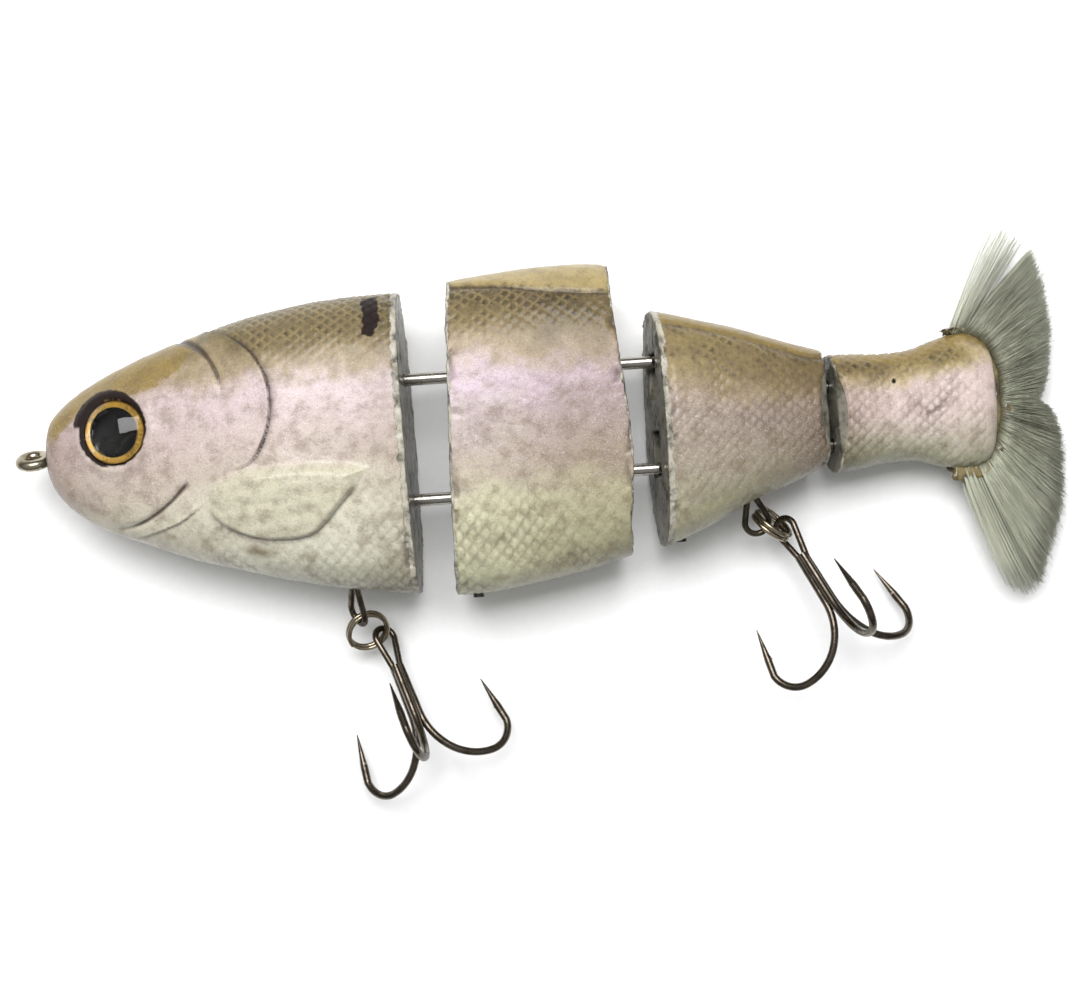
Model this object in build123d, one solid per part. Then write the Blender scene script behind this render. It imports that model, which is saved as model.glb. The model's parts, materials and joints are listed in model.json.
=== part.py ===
from build123d import *
import math
import os

os.makedirs("parts", exist_ok=True)

# A four-section jointed lure, in millimetres. It is first drawn straight, with X from the nose to the
# tail, Y towards the back and Z towards the left flank, and the nose tip at the origin. The sections
# are then laid on the right flank, each turned a little about its hinge pin as it settles.

# ---- driving dimensions -------------------------------------------------------------------------
HALF_THICKNESS = 10.5      # at the widest place, which rests on the ground
BLEND = 2.4                # exponent of the section curve: 2 is an ellipse, more is flatter flanks
OUTLINE_POINTS = 24        # on each section curve
CUT_LENGTH, CUT_HEIGHT, CUT_SPAN = 60.0, 120.0, 44.0   # blocks that cut a section square; belly to back

HEAD_END = 54.5
MID_FRONT, MID_END = 60.8, 86.3
REAR_FRONT, REAR_END = 91.3, 116.6
TAIL_FRONT = 117.9

# stations along each section: place, back, belly, half thickness
HEAD = [(0.0, 3.9, 0.1, 1.5), (0.5, 6.0, -2.0, 2.9), (1.5, 7.9, -4.0, 4.0), (4.0, 10.1, -6.8, 5.2),
        (8.0, 12.6, -9.5, 6.5), (14.0, 15.3, -12.1, 7.9), (22.0, 18.0, -15.2, 8.9),
        (32.0, 20.8, -18.1, 9.7), (43.0, 22.5, -20.7, 10.1), (56.0, 22.9, -22.4, 10.3)]
MID = [(57.0, 23.0, -22.9, 10.45), (65.0, 24.3, -22.8, 10.5), (75.0, 25.3, -21.3, 10.3),
       (84.0, 25.1, -19.4, 9.8), (90.0, 23.6, -17.6, 9.5)]
REAR = [(89.0, 17.8, -18.6, 9.5), (97.0, 16.1, -15.7, 8.9), (105.0, 13.8, -11.9, 8.0),
        (112.0, 11.4, -9.3, 7.0), (119.0, 9.4, -6.4, 6.2)]
TAIL = [(115.0, 9.4, -9.0, 6.2), (120.7, 9.4, -8.4, 6.2), (125.8, 9.0, -7.5, 5.7),
        (130.9, 9.4, -7.4, 5.2), (135.0, 10.7, -8.5, 5.0), (139.0, 11.5, -9.2, 4.9),
        (141.5, 10.8, -8.6, 4.5), (143.6, 8.6, -6.2, 3.4), (144.8, 4.5, -2.2, 1.8), (145.1, 2.2, 0.2, 0.7)]

# hinges: pin place, heights of the upper and lower screw eye, pin's lower and upper end
HINGES = [(63.2, 9.8, -8.3, -23.4, 13.5), (94.0, 10.0, -6.0, -17.2, 13.5), (112.5, 4.6, -4.2, -9.0, 8.0)]
EYE_WIRE = 0.93            # radius of the screw eyes' wire
EYE_RING = 1.84            # radius of the ring's centre line
PIN_RADIUS = 0.82          # runs in a 0.9 mm eye
SCREW_DEPTH = 9.0          # of the shank in its section
SLOT_HALF = 3.2            # half width of the slots that the screw eyes swing in
SLOT_TALL, SLOT_LOW = 5.6, 1.2   # a slot's reach from its eye towards the middle, and away from it
SLOT_LENGTH = 12.0         # from the pin out through the cut face
EDGE_BEVEL = 1.6           # on the two faces of the last joint, which are close together
BEVEL_SHIFT = 0.1          # behind the middle of the tail's leaning front face

# how the sections settle, in degrees about their pins; the tail end goes down for a positive angle
HEAD_DROOP, REAR_DROOP, TAIL_DROOP = -1.0, 6.0, 1.0

EYE_AT = (11.9, 4.6)
EYE_RADIUS, PUPIL_RADIUS, EYE_DOME = 4.6, 3.6, 1.5
EYE_THICK, PUPIL_THICK, SOCKET_GAP = 1.2, 0.3, 0.15
EYE_PLANE = 7.1            # height of the iris over the middle plane
EYE_TURN = (-4.0, -11.5)   # the iris leans up and forward, in degrees about X and Y

LINE_TIE_WIRE, LINE_TIE_RING, LINE_TIE_AT, LINE_TIE_LEAN = 0.85, 1.85, (-2.35, 1.5), 25.0
LINE_TIE_DEPTH = 12.0
SOCKET_DEPTH = 10.0        # of the tool that opens the eye socket, out through the skin

HANGER_WIRE, HANGER_RING, HANGER_STEM = 0.475, 1.85, 7.0
HANGER_LEG_GAP, HANGER_STEM_WIRE, HANGER_STEM_RISE = 0.45, 0.8, 0.4
RING_WIRE, RING_RADIUS, RING_PITCH = 0.36, 3.05, 0.76
HOOK_WIRE, HOOK_EYE_WIRE, HOOK_EYE_RING, HOOK_EYE_LENGTH = 0.58, 0.5, 1.62, 7.4
HOOK_LEG_GAP = 0.5
HOOK_BRAZE, HOOK_BRAZE_LENGTH, HOOK_BRAZE_START = 0.8, 9.0, 1.0
# an arm's corners from the axis outwards and along it, then its point, which keeps its full thickness
# for a share of its length
ARM_START, ARM_ELBOW, ARM_BEND = (0.63, 6.5), (0.75, 14.5), (3.1, 20.6)
ARM_BOTTOM, ARM_HEEL = (9.6, 23.4), (13.6, 19.6)
ARM_TIP, TIP_RADIUS, NECK_SHARE = (12.2, 12.2), 0.08, 0.35
# a barb: its place along the point, its lean inwards and back, its radii and its length
BARB_PLACE, BARB_LEAN, BARB_BACK, BARB_ROOT, BARB_TIP, BARB_LENGTH = 0.5, -0.42, 0.2, 0.34, 0.05, 1.5

# ballast: place, radius, lower end and length of each slug, and how deep its hole is drilled from below
BALLAST = [(30.0, 3.2, -16.2, 8.0), (74.0, 3.0, -19.6, 8.5), (100.5, 2.4, -12.8, 4.5)]
BALLAST_HOLE = 15.0

UP = (Align.CENTER, Align.CENTER, Align.MIN)
DOWN = (Align.CENTER, Align.CENTER, Align.MAX)


# ---- shapes -------------------------------------------------------------------------------------
def section_face(x, back, belly, half):
    """A cross-section of the body: a closed curve between ellipse and rounded rectangle."""
    middle, tall = (back + belly) / 2, (back - belly) / 2
    points = []
    for step in range(OUTLINE_POINTS):
        turn = 2 * math.pi * step / OUTLINE_POINTS
        c, s = math.cos(turn), math.sin(turn)
        y = middle + tall * math.copysign(abs(s) ** (2 / BLEND), s)
        z = half * math.copysign(abs(c) ** (2 / BLEND), c)
        points.append((x, y, z))
    return make_face(Spline(*points, periodic=True))


def profile(stations, x):
    """Back, belly and half thickness at a place along a section, on a smooth curve through its stations."""
    last = len(stations) - 2
    i = max(k for k in range(last + 1) if k == 0 or stations[k][0] <= x)

    def slope(k, column):
        low, high = max(k - 1, 0), min(k + 1, last + 1)
        return (stations[high][column] - stations[low][column]) / (stations[high][0] - stations[low][0])

    x0, x1 = stations[i][0], stations[i + 1][0]
    span = x1 - x0
    t = (x - x0) / span
    row = []
    for column in (1, 2, 3):
        y0, y1 = stations[i][column], stations[i + 1][column]
        m0, m1 = slope(i, column) * span, slope(i + 1, column) * span
        row.append(y0 * (2 * t**3 - 3 * t**2 + 1) + m0 * (t**3 - 2 * t**2 + t)
                   + y1 * (3 * t**2 - 2 * t**3) + m1 * (t**3 - t**2))
    return row


def body(stations, count, grade=1.0):
    """Loft through evenly graded stations; a grade over 1 crowds them towards the nose end."""
    start, end = stations[0][0], stations[-1][0]
    places = [start + (end - start) * (k / count) ** grade for k in range(count + 1)]
    return loft([section_face(x, *profile(stations, x)) for x in places])


def rod(start, end, radius):
    axis = Vector(*end) - Vector(*start)
    plane = Plane(origin=start, z_dir=axis)
    return plane * Cylinder(radius, axis.length, align=UP)


def trim(shape, x_back, x_belly, keep_rear):
    """Cut a section off square across the lure, on a face that may lean from back to belly."""
    lean = math.degrees(math.atan2(x_back - x_belly, CUT_SPAN))
    side = Align.MAX if keep_rear else Align.MIN
    block = Box(CUT_LENGTH, CUT_HEIGHT, CUT_LENGTH, align=(side, Align.CENTER, Align.CENTER))
    return shape - Pos((x_back + x_belly) / 2, 0, 0) * Rot(0, 0, -lean) * block


def screw_eye(pin_x, y, shank_end):
    """A ring round the pin, with its shank along the lure."""
    side = math.copysign(1, shank_end - pin_x)
    ring = Pos(pin_x, y, 0) * Rot(90, 0, 0) * Torus(EYE_RING, EYE_WIRE)
    return ring + rod((pin_x + side * EYE_RING, y, 0), (shank_end, y, 0), EYE_WIRE)


def slot(pin_x, y_low, y_high, towards):
    """The space that a screw eye swings in, rounded behind the pin and open at the cut face."""
    tall, middle = y_high - y_low, (y_high + y_low) / 2
    end = Rot(90, 0, 0) * Cylinder(SLOT_HALF, tall)
    way = Box(SLOT_LENGTH, tall, 2 * SLOT_HALF, align=(Align.MIN, Align.CENTER, Align.CENTER))
    if towards < 0:
        way = Rot(0, 180, 0) * way
    return Pos(pin_x, middle, 0) * (end + way)


def teardrop(length, radius, wire, half):
    """A wire loop in the XZ plane: its two legs leave the origin's sides and meet over an arc."""
    centre = length - radius
    reach = math.hypot(half, centre)
    turn = math.atan2(-centre, half) + math.acos(radius / reach)
    side = (radius * math.cos(turn), 0, centre + radius * math.sin(turn))
    far = (-side[0], 0, side[2])
    path = Line((half, 0, 0), side) + ThreePointArc(side, (0, 0, length), far) + Line(far, (-half, 0, 0))
    return sweep(Plane(origin=(half, 0, 0), z_dir=path % 0) * Circle(wire), path=path)


def wire_plane(at, heading, dip):
    """A frame at a point of the wire work: Z along the piece, X level. Angles in degrees."""
    flat = math.cos(math.radians(dip))
    along = Vector(flat * math.cos(math.radians(heading)), flat * math.sin(math.radians(heading)),
                   -math.sin(math.radians(dip)))
    return Plane(origin=at, x_dir=along.cross(Vector(0, 0, 1)), z_dir=along)


def hanger(at, heading, dip, turn, length):
    """A teardrop loop of wire on a stem that is glued into the belly."""
    loop = Rot(0, 0, turn) * teardrop(length, HANGER_RING, HANGER_WIRE, HANGER_LEG_GAP)
    stem = Cylinder(HANGER_STEM_WIRE, HANGER_STEM, align=DOWN)
    return wire_plane(at, heading, dip) * (loop + Pos(0, 0, HANGER_STEM_RISE) * stem)


def split_ring(at, normal, ends):
    """Two close turns of wire; ends is the side on which the wire starts and stops."""
    height = 2 * RING_PITCH
    path = Helix(RING_PITCH, height, RING_RADIUS)
    start = Plane(origin=path @ 0, z_dir=path % 0)
    coil = sweep(start * Circle(RING_WIRE), path=path, is_frenet=True)
    across = Vector(*ends) - Vector(*normal) * Vector(*ends).dot(Vector(*normal))
    return Plane(origin=at, x_dir=across, z_dir=normal) * Pos(0, 0, -height / 2) * coil


def in_arm(corner):
    """A corner of a hook's arm, given outwards and along the axis, as a point."""
    return (corner[0], 0, corner[1])


def hook_arm():
    """One arm of a treble hook in the XZ plane: shank, round bend, then a tapered point with its barb."""
    shank = Line(in_arm(ARM_START), in_arm(ARM_ELBOW))
    elbow = TangentArc(shank @ 1, in_arm(ARM_BEND), tangent=shank % 1)
    bottom = TangentArc(elbow @ 1, in_arm(ARM_BOTTOM), tangent=elbow % 1)
    heel = TangentArc(bottom @ 1, in_arm(ARM_HEEL), tangent=bottom % 1)
    path = shank + elbow + bottom + heel
    wire = sweep(Plane(origin=shank @ 0, z_dir=shank % 0) * Circle(HOOK_WIRE), path=path)
    straight = Vector(*in_arm(ARM_TIP)) - heel @ 1
    start = Plane(origin=heel @ 1, z_dir=straight)
    neck = NECK_SHARE * straight.length
    point = start * Cylinder(HOOK_WIRE, neck, align=UP)
    point += start * Pos(0, 0, neck) * Cone(HOOK_WIRE, TIP_RADIUS, straight.length - neck, align=UP)
    lean = Vector(BARB_LEAN, 0, 1) - straight.normalized() * BARB_BACK
    barb = Plane(origin=heel @ 1 + straight * BARB_PLACE, z_dir=lean)
    point += barb * Cone(BARB_ROOT, BARB_TIP, BARB_LENGTH, align=UP)
    return wire + Pos(*(heel @ 1)) * Sphere(HOOK_WIRE) + point


def treble_hook(at, heading, dip, roll, eye_turn):
    """Three arms brazed round the legs of a wire eye."""
    arm = hook_arm()
    hook = Rot(0, 0, -roll) * arm
    for turn in (120, 240):
        hook += Rot(0, 0, -roll - turn) * arm
    eye = teardrop(HOOK_EYE_LENGTH, HOOK_EYE_RING, HOOK_EYE_WIRE, HOOK_LEG_GAP)
    eye = Pos(0, 0, HOOK_EYE_LENGTH) * Rot(180, 0, 0) * eye
    braze = Cylinder(HOOK_BRAZE, HOOK_BRAZE_LENGTH, align=UP)
    braze = Pos(0, 0, HOOK_EYE_LENGTH - HOOK_BRAZE_START) * braze
    return wire_plane(at, heading, dip) * (hook + Rot(0, 0, -eye_turn) * eye + braze)


# ---- the four sections, drawn straight ------------------------------------------------------------
head = trim(body(HEAD, 16, 1.7), HEAD_END - 0.3, HEAD_END + 0.2, False)
mid = trim(trim(body(MID, 8), MID_FRONT + 0.7, MID_FRONT - 0.7, True), MID_END - 0.7, MID_END + 0.4, False)
rear = trim(trim(body(REAR, 8), REAR_FRONT, REAR_FRONT, True), REAR_END, REAR_END, False)
tail = trim(body(TAIL, 13), TAIL_FRONT - 0.4, TAIL_FRONT + 0.7, True)

parts = {}        # name of each piece: (solid, body it belongs to)


def add(name, shape, where):
    parts[name] = (shape, where)


# hinges: two screw eyes and a pin to a joint; the first two joints' eyes are screwed into the section
# in front, and the last one's into the tail
sections = {"head": head, "mid": mid, "rear": rear, "tail": tail}
HOLDERS = [("head", HEAD_END - SCREW_DEPTH, "mid"), ("mid", MID_END - SCREW_DEPTH, "rear"),
           ("tail", TAIL_FRONT + SCREW_DEPTH, "rear")]
for number, (pin_x, upper, lower, pin_low, pin_high) in enumerate(HINGES, start=1):
    holder, shank_end, receiver = HOLDERS[number - 1]
    side = math.copysign(1, shank_end - pin_x)
    reach = SLOT_TALL if number < 3 else SLOT_LOW
    spaces = [("upper", upper, upper - reach, upper + SLOT_LOW),
              ("lower", lower, lower - SLOT_LOW, lower + reach)]
    for label, y, y_low, y_high in spaces:
        eye = screw_eye(pin_x, y, shank_end)
        sections[holder] -= eye
        sections[receiver] -= slot(pin_x, y_low, y_high, side)
        add(f"hinge_{number}_{label}_screw_eye", eye, holder)
    pin = rod((pin_x, pin_low, 0), (pin_x, pin_high, 0), PIN_RADIUS)
    sections[receiver] -= pin
    add(f"hinge_{number}_pin", pin, receiver)

# bevels that let the tail swing in its narrow gap
bevel_width = EDGE_BEVEL * math.sqrt(2)
bevel = Rot(0, 45, 0) * Box(bevel_width, CUT_HEIGHT, bevel_width)
for x, name, stations in ((REAR_END, "rear", REAR), (TAIL_FRONT + BEVEL_SHIFT, "tail", TAIL)):
    half = profile(stations, x)[2]
    for z in (-half, half):
        sections[name] -= Pos(x, 0, z) * bevel

# nose line tie: a thick wire loop that lies flat when the lure swims
tie_x, tie_y = LINE_TIE_AT
tie = Pos(tie_x, tie_y, 0) * Rot(90 + LINE_TIE_LEAN, 0, 0) * Torus(LINE_TIE_RING, LINE_TIE_WIRE)
tie += rod((tie_x + LINE_TIE_RING, tie_y, 0), (LINE_TIE_DEPTH, tie_y, 0), LINE_TIE_WIRE)
sections["head"] -= tie
add("line_tie", tie, "head")

# eyes: an iris disc on the floor of its socket, the pupil let into it, and a clear dome over both
eye_seat = Pos(EYE_AT[0], EYE_AT[1], EYE_PLANE) * Rot(EYE_TURN[0], EYE_TURN[1], 0)
dome_ball = (EYE_RADIUS**2 + EYE_DOME**2) / (2 * EYE_DOME)
socket = eye_seat * Pos(0, 0, -EYE_THICK) * Cylinder(EYE_RADIUS + SOCKET_GAP, SOCKET_DEPTH, align=UP)
pupil = Cylinder(PUPIL_RADIUS, PUPIL_THICK, align=DOWN)
iris = Cylinder(EYE_RADIUS, EYE_THICK, align=DOWN) - pupil
dome = Pos(0, 0, EYE_DOME - dome_ball) * Sphere(dome_ball) & Cylinder(EYE_RADIUS, EYE_DOME + 1, align=UP)
for label, flip in (("left", False), ("right", True)):
    for piece, shape in (("iris", iris), ("pupil", pupil), ("lens", dome)):
        placed = eye_seat * shape
        add(f"{label}_eye_{piece}", mirror(placed, about=Plane.XY) if flip else placed, "head")
    sections["head"] -= mirror(socket, about=Plane.XY) if flip else socket

# ballast: a lead slug let into each belly, with a filler plug flush over it
for (x, radius, low, length), name in zip(BALLAST, ("head", "mid", "rear")):
    slug = rod((x, low, 0), (x, low + length, 0), radius)
    hole = rod((x, low - BALLAST_HOLE, 0), (x, low, 0), radius)
    plug = sections[name] & hole
    sections[name] = sections[name] - slug - hole
    add(f"{name}_ballast", slug, name)
    add(f"{name}_ballast_plug", plug, name)

# brush tail: two flat fans of bristles in a bead of glue round the tail's rounded end
BEAD_RIM = [(136.5, 12.4), (139.4, 12.9), (142.4, 12.0), (144.8, 9.3), (146.1, 4.9), (146.4, 1.2),
            (146.1, -2.7), (144.7, -6.9), (142.2, -9.7), (139.2, -10.4), (136.8, -10.0)]
BEAD_INSIDE = [(137.0, -7.4), (141.0, -6.6), (142.9, -1.5), (142.9, 3.6), (141.0, 8.8), (136.8, 9.6)]
UPPER_FAN = [(137.9, 12.0), (140.5, 18.0), (144.2, 26.2), (147.6, 28.0), (149.8, 26.6), (150.8, 22.8),
             (152.3, 18.5), (153.3, 12.0), (152.9, 7.3), (151.2, 3.4), (148.6, 0.9), (140.0, 0.9)]
LOWER_FAN = [(140.0, 0.7), (148.6, 0.7), (151.2, -0.5), (152.9, -3.0), (153.9, -10.0), (153.2, -16.0),
             (151.2, -21.3), (149.0, -26.0), (146.2, -29.4), (144.4, -28.6), (141.3, -19.2), (138.6, -9.6)]
FAN_THICK, BEAD_THICK = 3.4, 3.6

bead_face = make_face(Polyline(*BEAD_RIM, *BEAD_INSIDE, close=True))
bead = extrude(bead_face, BEAD_THICK / 2, both=True)
for label, outline in (("upper", UPPER_FAN), ("lower", LOWER_FAN)):
    fan = extrude(make_face(Polyline(*outline, close=True)), FAN_THICK / 2, both=True)
    add(f"brush_{label}_lobe", fan - bead - sections["tail"], "tail")
add("brush_glue", bead - sections["tail"], "tail")

# hangers: the front one under the head, the rear one under the third section. They are given where
# they lie once the sections have settled: place, heading and dip of the loop, its turn and length
FRONT_HANGER = ((44.6, -20.0, 10.2), -90.5, 34.9, -127.2, 7.65)
REAR_HANGER = ((105.0, -11.0, 9.3), -78.1, 18.9, -4.4, 6.28)
FRONT_RING = ((45.63, -27.76, 4.86), (0.309, -0.456, 0.834), (-0.86, -0.48, -0.10))
REAR_RING = ((108.49, -15.68, 5.58), (0.630, 0.715, 0.304), (-0.52, 0.58, -0.40))
# hooks: end of the eye, heading and dip of the shank, roll of the first arm, turn of the eye's loop
FRONT_HOOK = ((47.51, -27.70, 2.56), -69.8, -20.1, 208.5, 41.0)
REAR_HOOK = ((109.88, -15.14, 4.10), -64.0, -19.6, 221.0, -31.4)


# ---- laid on the right flank ----------------------------------------------------------------------
def swing(pin_x, angle):
    return Pos(pin_x, 0, 0) * Rot(0, angle, 0) * Pos(-pin_x, 0, 0)


lift = Pos(0, 0, HALF_THICKNESS)
placed_at = {"mid": lift, "head": lift * swing(HINGES[0][0], HEAD_DROOP),
             "rear": lift * swing(HINGES[1][0], REAR_DROOP)}
placed_at["tail"] = placed_at["rear"] * swing(HINGES[2][0], TAIL_DROOP)

front_hanger, rear_hanger = hanger(*FRONT_HANGER), hanger(*REAR_HANGER)
laid = {f"{name}_body": placed_at[name] * shape for name, shape in sections.items()}
laid["head_body"] -= front_hanger
laid["rear_body"] -= rear_hanger
laid.update({name: placed_at[where] * shape for name, (shape, where) in parts.items()})
laid.update({"front_hook_hanger": front_hanger, "rear_hook_hanger": rear_hanger,
             "front_split_ring": split_ring(*FRONT_RING), "rear_split_ring": split_ring(*REAR_RING),
             "front_treble_hook": treble_hook(*FRONT_HOOK), "rear_treble_hook": treble_hook(*REAR_HOOK)})

# the row's origin is under the middle of the whole lure, on the ground
boxes = [shape.bounding_box() for shape in laid.values()]
low = [min(getattr(box.min, axis) for box in boxes) for axis in "XYZ"]
high = [max(getattr(box.max, axis) for box in boxes) for axis in "XYZ"]
origin = ((low[0] + high[0]) / 2, (low[1] + high[1]) / 2, low[2])
to_origin = Pos(-origin[0], -origin[1], -origin[2])
print("origin in the straight lure's frame:", [round(value, 3) for value in origin])
print("size:", [round(b - a, 2) for a, b in zip(low, high)])

for name, shape in laid.items():
    export_step(to_origin * shape, f"parts/{name}.step")
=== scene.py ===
import json
import math

import bpy
import numpy as np
from bpy.props import FloatProperty, FloatVectorProperty, IntProperty, PointerProperty
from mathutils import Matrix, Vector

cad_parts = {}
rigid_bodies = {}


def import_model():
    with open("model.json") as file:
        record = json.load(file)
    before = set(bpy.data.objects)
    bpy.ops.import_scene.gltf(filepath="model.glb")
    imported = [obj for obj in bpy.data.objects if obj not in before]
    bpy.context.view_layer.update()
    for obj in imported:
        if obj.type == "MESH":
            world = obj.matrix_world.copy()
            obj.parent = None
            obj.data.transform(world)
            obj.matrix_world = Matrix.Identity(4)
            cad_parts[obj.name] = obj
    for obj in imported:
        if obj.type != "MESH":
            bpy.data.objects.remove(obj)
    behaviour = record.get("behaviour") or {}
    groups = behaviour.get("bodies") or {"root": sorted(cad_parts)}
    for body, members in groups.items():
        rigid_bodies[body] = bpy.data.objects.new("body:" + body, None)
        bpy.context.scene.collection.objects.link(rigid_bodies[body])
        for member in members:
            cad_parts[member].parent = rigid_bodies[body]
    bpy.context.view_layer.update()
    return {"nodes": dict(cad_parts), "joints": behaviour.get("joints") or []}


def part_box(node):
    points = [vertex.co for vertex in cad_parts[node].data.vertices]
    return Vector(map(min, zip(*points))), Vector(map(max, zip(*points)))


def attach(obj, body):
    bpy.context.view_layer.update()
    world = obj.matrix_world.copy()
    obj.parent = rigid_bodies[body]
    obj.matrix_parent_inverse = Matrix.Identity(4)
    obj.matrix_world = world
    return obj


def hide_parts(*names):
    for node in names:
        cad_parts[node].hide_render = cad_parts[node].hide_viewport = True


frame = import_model()

bl_info = {
    "name": "Jointed lure",
    "version": (1, 0, 0),
    "blender": (4, 5, 0),
    "location": "View3D > Sidebar > Lure",
    "description": "Sculpts, paints and lights a four-section jointed lure with a brush tail",
    "category": "Object",
}

# ---- the straight lure ----------------------------------------------------------------------------
# Shapes on the sections are given in the straight lure's frame, in millimetres: u from the nose to the
# tail, v towards the back and w towards the left flank, with the nose tip at the origin.
MM = 0.001
PIN_PLACES = (63.2, 94.0, 112.5)
PIN_LOW = -23.4                       # lower end of the first pin
HINGE_NAMES = ("head_to_mid_hinge", "mid_to_rear_hinge", "rear_to_tail_hinge")
# section: (number of the pin it has settled about, turn in degrees)
SETTLED = {"head": (0, -1.0), "mid": (0, 0.0), "rear": (1, 6.0), "tail": (2, 7.0)}
SECTION_BLEND = 2.4                   # exponent of the sections' outline across the lure
REST_GAP = 0.05 * MM                  # the relief is worn flat where it would reach into the ground
SCALE_BOW = 0.17                      # how far a scale's rear edges bulge, in scales
BELLY_START = -6.0                    # distance round the section below which the rows are wider
BELLY_CROWDING = 0.72                 # rows there for each row of the even spacing
CUT_MARGIN = 1.8                      # near a cut face the outline is taken from this far in
FAR_MM = 9.0                          # a mark's value where its feature isn't near
NO_CUT = 99.0                         # distance to a cut face at an end that has none
MERGE_DISTANCE = 2e-6

JOINT_PLACES = {joint["name"]: np.array(joint["pos_m"], float) for joint in frame["joints"]}
HINGES = [JOINT_PLACES[name] for name in HINGE_NAMES]
BACK_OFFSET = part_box("hinge_1_pin")[0].y / MM - PIN_LOW


def straighten(points, section, vectors=False):
    """Points in the row frame, in metres, as points of the straight lure, in millimetres."""
    pin, turn = SETTLED[section]
    cos, sin = math.cos(math.radians(turn)), math.sin(math.radians(turn))
    if vectors:
        x, y, z = points.T
        return np.column_stack([x * cos - z * sin, y, x * sin + z * cos])
    x, y, z = ((points - HINGES[pin] * (1, 0, 1)) / MM).T
    return np.column_stack([x * cos - z * sin + PIN_PLACES[pin], y - BACK_OFFSET, x * sin + z * cos])


def lay_down(points, section):
    """Points of the straight lure as points in the row frame."""
    pin, turn = SETTLED[section]
    cos, sin = math.cos(math.radians(turn)), math.sin(math.radians(turn))
    u, v, w = (points - (PIN_PLACES[pin], 0, 0)).T
    laid = np.column_stack([u * cos + w * sin, v + BACK_OFFSET, -u * sin + w * cos])
    return laid * MM + HINGES[pin] * (1, 0, 1)


# ---- helpers for shapes ---------------------------------------------------------------------------
def smooth(value, low, high):
    """0 at low, 1 at high, with a soft start and end; low may be the larger."""
    share = np.clip((value - low) / (high - low), 0, 1)
    return share * share * (3 - 2 * share)


def bell(value, width):
    """1 at a value of 0, fading to either side over about the width."""
    return np.exp(-(value / width) ** 2)


def grain(points, size, seed):
    """Smooth noise from -1 to 1 at each point; size is the width of its lumps."""
    cells = 32
    table = np.random.default_rng(seed).uniform(-1, 1, (cells, cells, cells))
    place = points / size
    low = np.floor(place).astype(int)
    part = place - low
    part = part * part * (3 - 2 * part)
    total = np.zeros(len(points))
    for corner in np.ndindex(2, 2, 2):
        weight = np.prod(np.where(corner, part, 1 - part), axis=1)
        i, j, k = ((low + corner) % cells).T
        total += weight * table[i, j, k]
    return total


def rounded(corners, steps=4):
    """Points on a smooth curve through the corners."""
    corners = np.array(corners, float)
    ends = np.vstack([2 * corners[0] - corners[1], corners, 2 * corners[-1] - corners[-2]])
    points = []
    for a, b, c, d in zip(ends, ends[1:], ends[2:], ends[3:]):
        for t in np.arange(steps) / steps:
            points.append(0.5 * (2 * b + (c - a) * t + (2 * a - 5 * b + 4 * c - d) * t * t
                                 + (3 * b - a - 3 * c + d) * t**3))
    return np.array(points + [corners[-1]])


def near_line(places, corners, closed=False):
    """Distance to a smooth line, positive to its left, and how far along it the nearest point is."""
    line = rounded(corners + corners[:1] if closed else corners)
    lengths = np.hypot(*np.diff(line, axis=0).T)
    walked = np.concatenate([[0], np.cumsum(lengths)]) / lengths.sum()
    best = np.full(len(places), 1e9)
    signed, share = best.copy(), np.zeros(len(places))
    for k, (start, end) in enumerate(zip(line, line[1:])):
        run = end - start
        t = np.clip((places - start) @ run / (run @ run), 0, 1)
        off = places - start - t[:, None] * run
        far = np.hypot(*off.T)
        closer = far < best
        best = np.where(closer, far, best)
        left = run[0] * off[:, 1] - run[1] * off[:, 0] >= 0
        signed = np.where(closer, np.where(left, far, -far), signed)
        share = np.where(closer, walked[k] + t * (walked[k + 1] - walked[k]), share)
    return signed, share


def fading(share, start=0.12, end=0.12):
    """1 along a line's middle, falling to 0 at its two ends."""
    return smooth(share, 0, start) * smooth(share, 1, 1 - end)


def clear_selection():
    if bpy.context.object is not None and bpy.context.object.mode != "OBJECT":
        bpy.ops.object.mode_set(mode="OBJECT")
    bpy.ops.object.select_all(action="DESELECT")


def copy_of(nodes, name):
    """One piece from copies of CAD nodes, with its doubles merged."""
    clear_selection()
    for node in nodes:
        frame["nodes"][node].select_set(True)
    bpy.context.view_layer.objects.active = frame["nodes"][nodes[0]]
    bpy.ops.object.duplicate()
    bpy.ops.object.parent_clear(type="CLEAR_KEEP_TRANSFORM")
    if len(nodes) > 1:
        bpy.ops.object.join()
    piece = bpy.context.object
    piece.name = name
    for key in [key for key in piece.keys() if key.startswith("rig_")]:
        del piece[key]
    piece.data.materials.clear()
    bpy.ops.object.mode_set(mode="EDIT")
    bpy.ops.mesh.select_all(action="SELECT")
    bpy.ops.mesh.remove_doubles(threshold=MERGE_DISTANCE)
    bpy.ops.object.mode_set(mode="OBJECT")
    return piece


def remesh(piece, voxel):
    """An even fine mesh over the piece's outside, a little eased at its edges."""
    bpy.ops.object.modifier_add(type="REMESH")
    modifier = piece.modifiers[-1]
    modifier.mode = "VOXEL"
    modifier.voxel_size = voxel
    modifier.use_smooth_shade = True
    bpy.ops.object.modifier_apply(modifier=modifier.name)


def mesh_points(piece):
    points = np.zeros(len(piece.data.vertices) * 3)
    piece.data.vertices.foreach_get("co", points)
    return points.reshape(-1, 3)


def mesh_normals(piece):
    normals = np.zeros(len(piece.data.vertices) * 3, np.float32)
    piece.data.vertex_normals.foreach_get("vector", normals)
    return normals.reshape(-1, 3).astype(float)


def set_points(piece, points):
    piece.data.vertices.foreach_set("co", points.astype(np.float32).ravel())
    piece.data.update()


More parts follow.
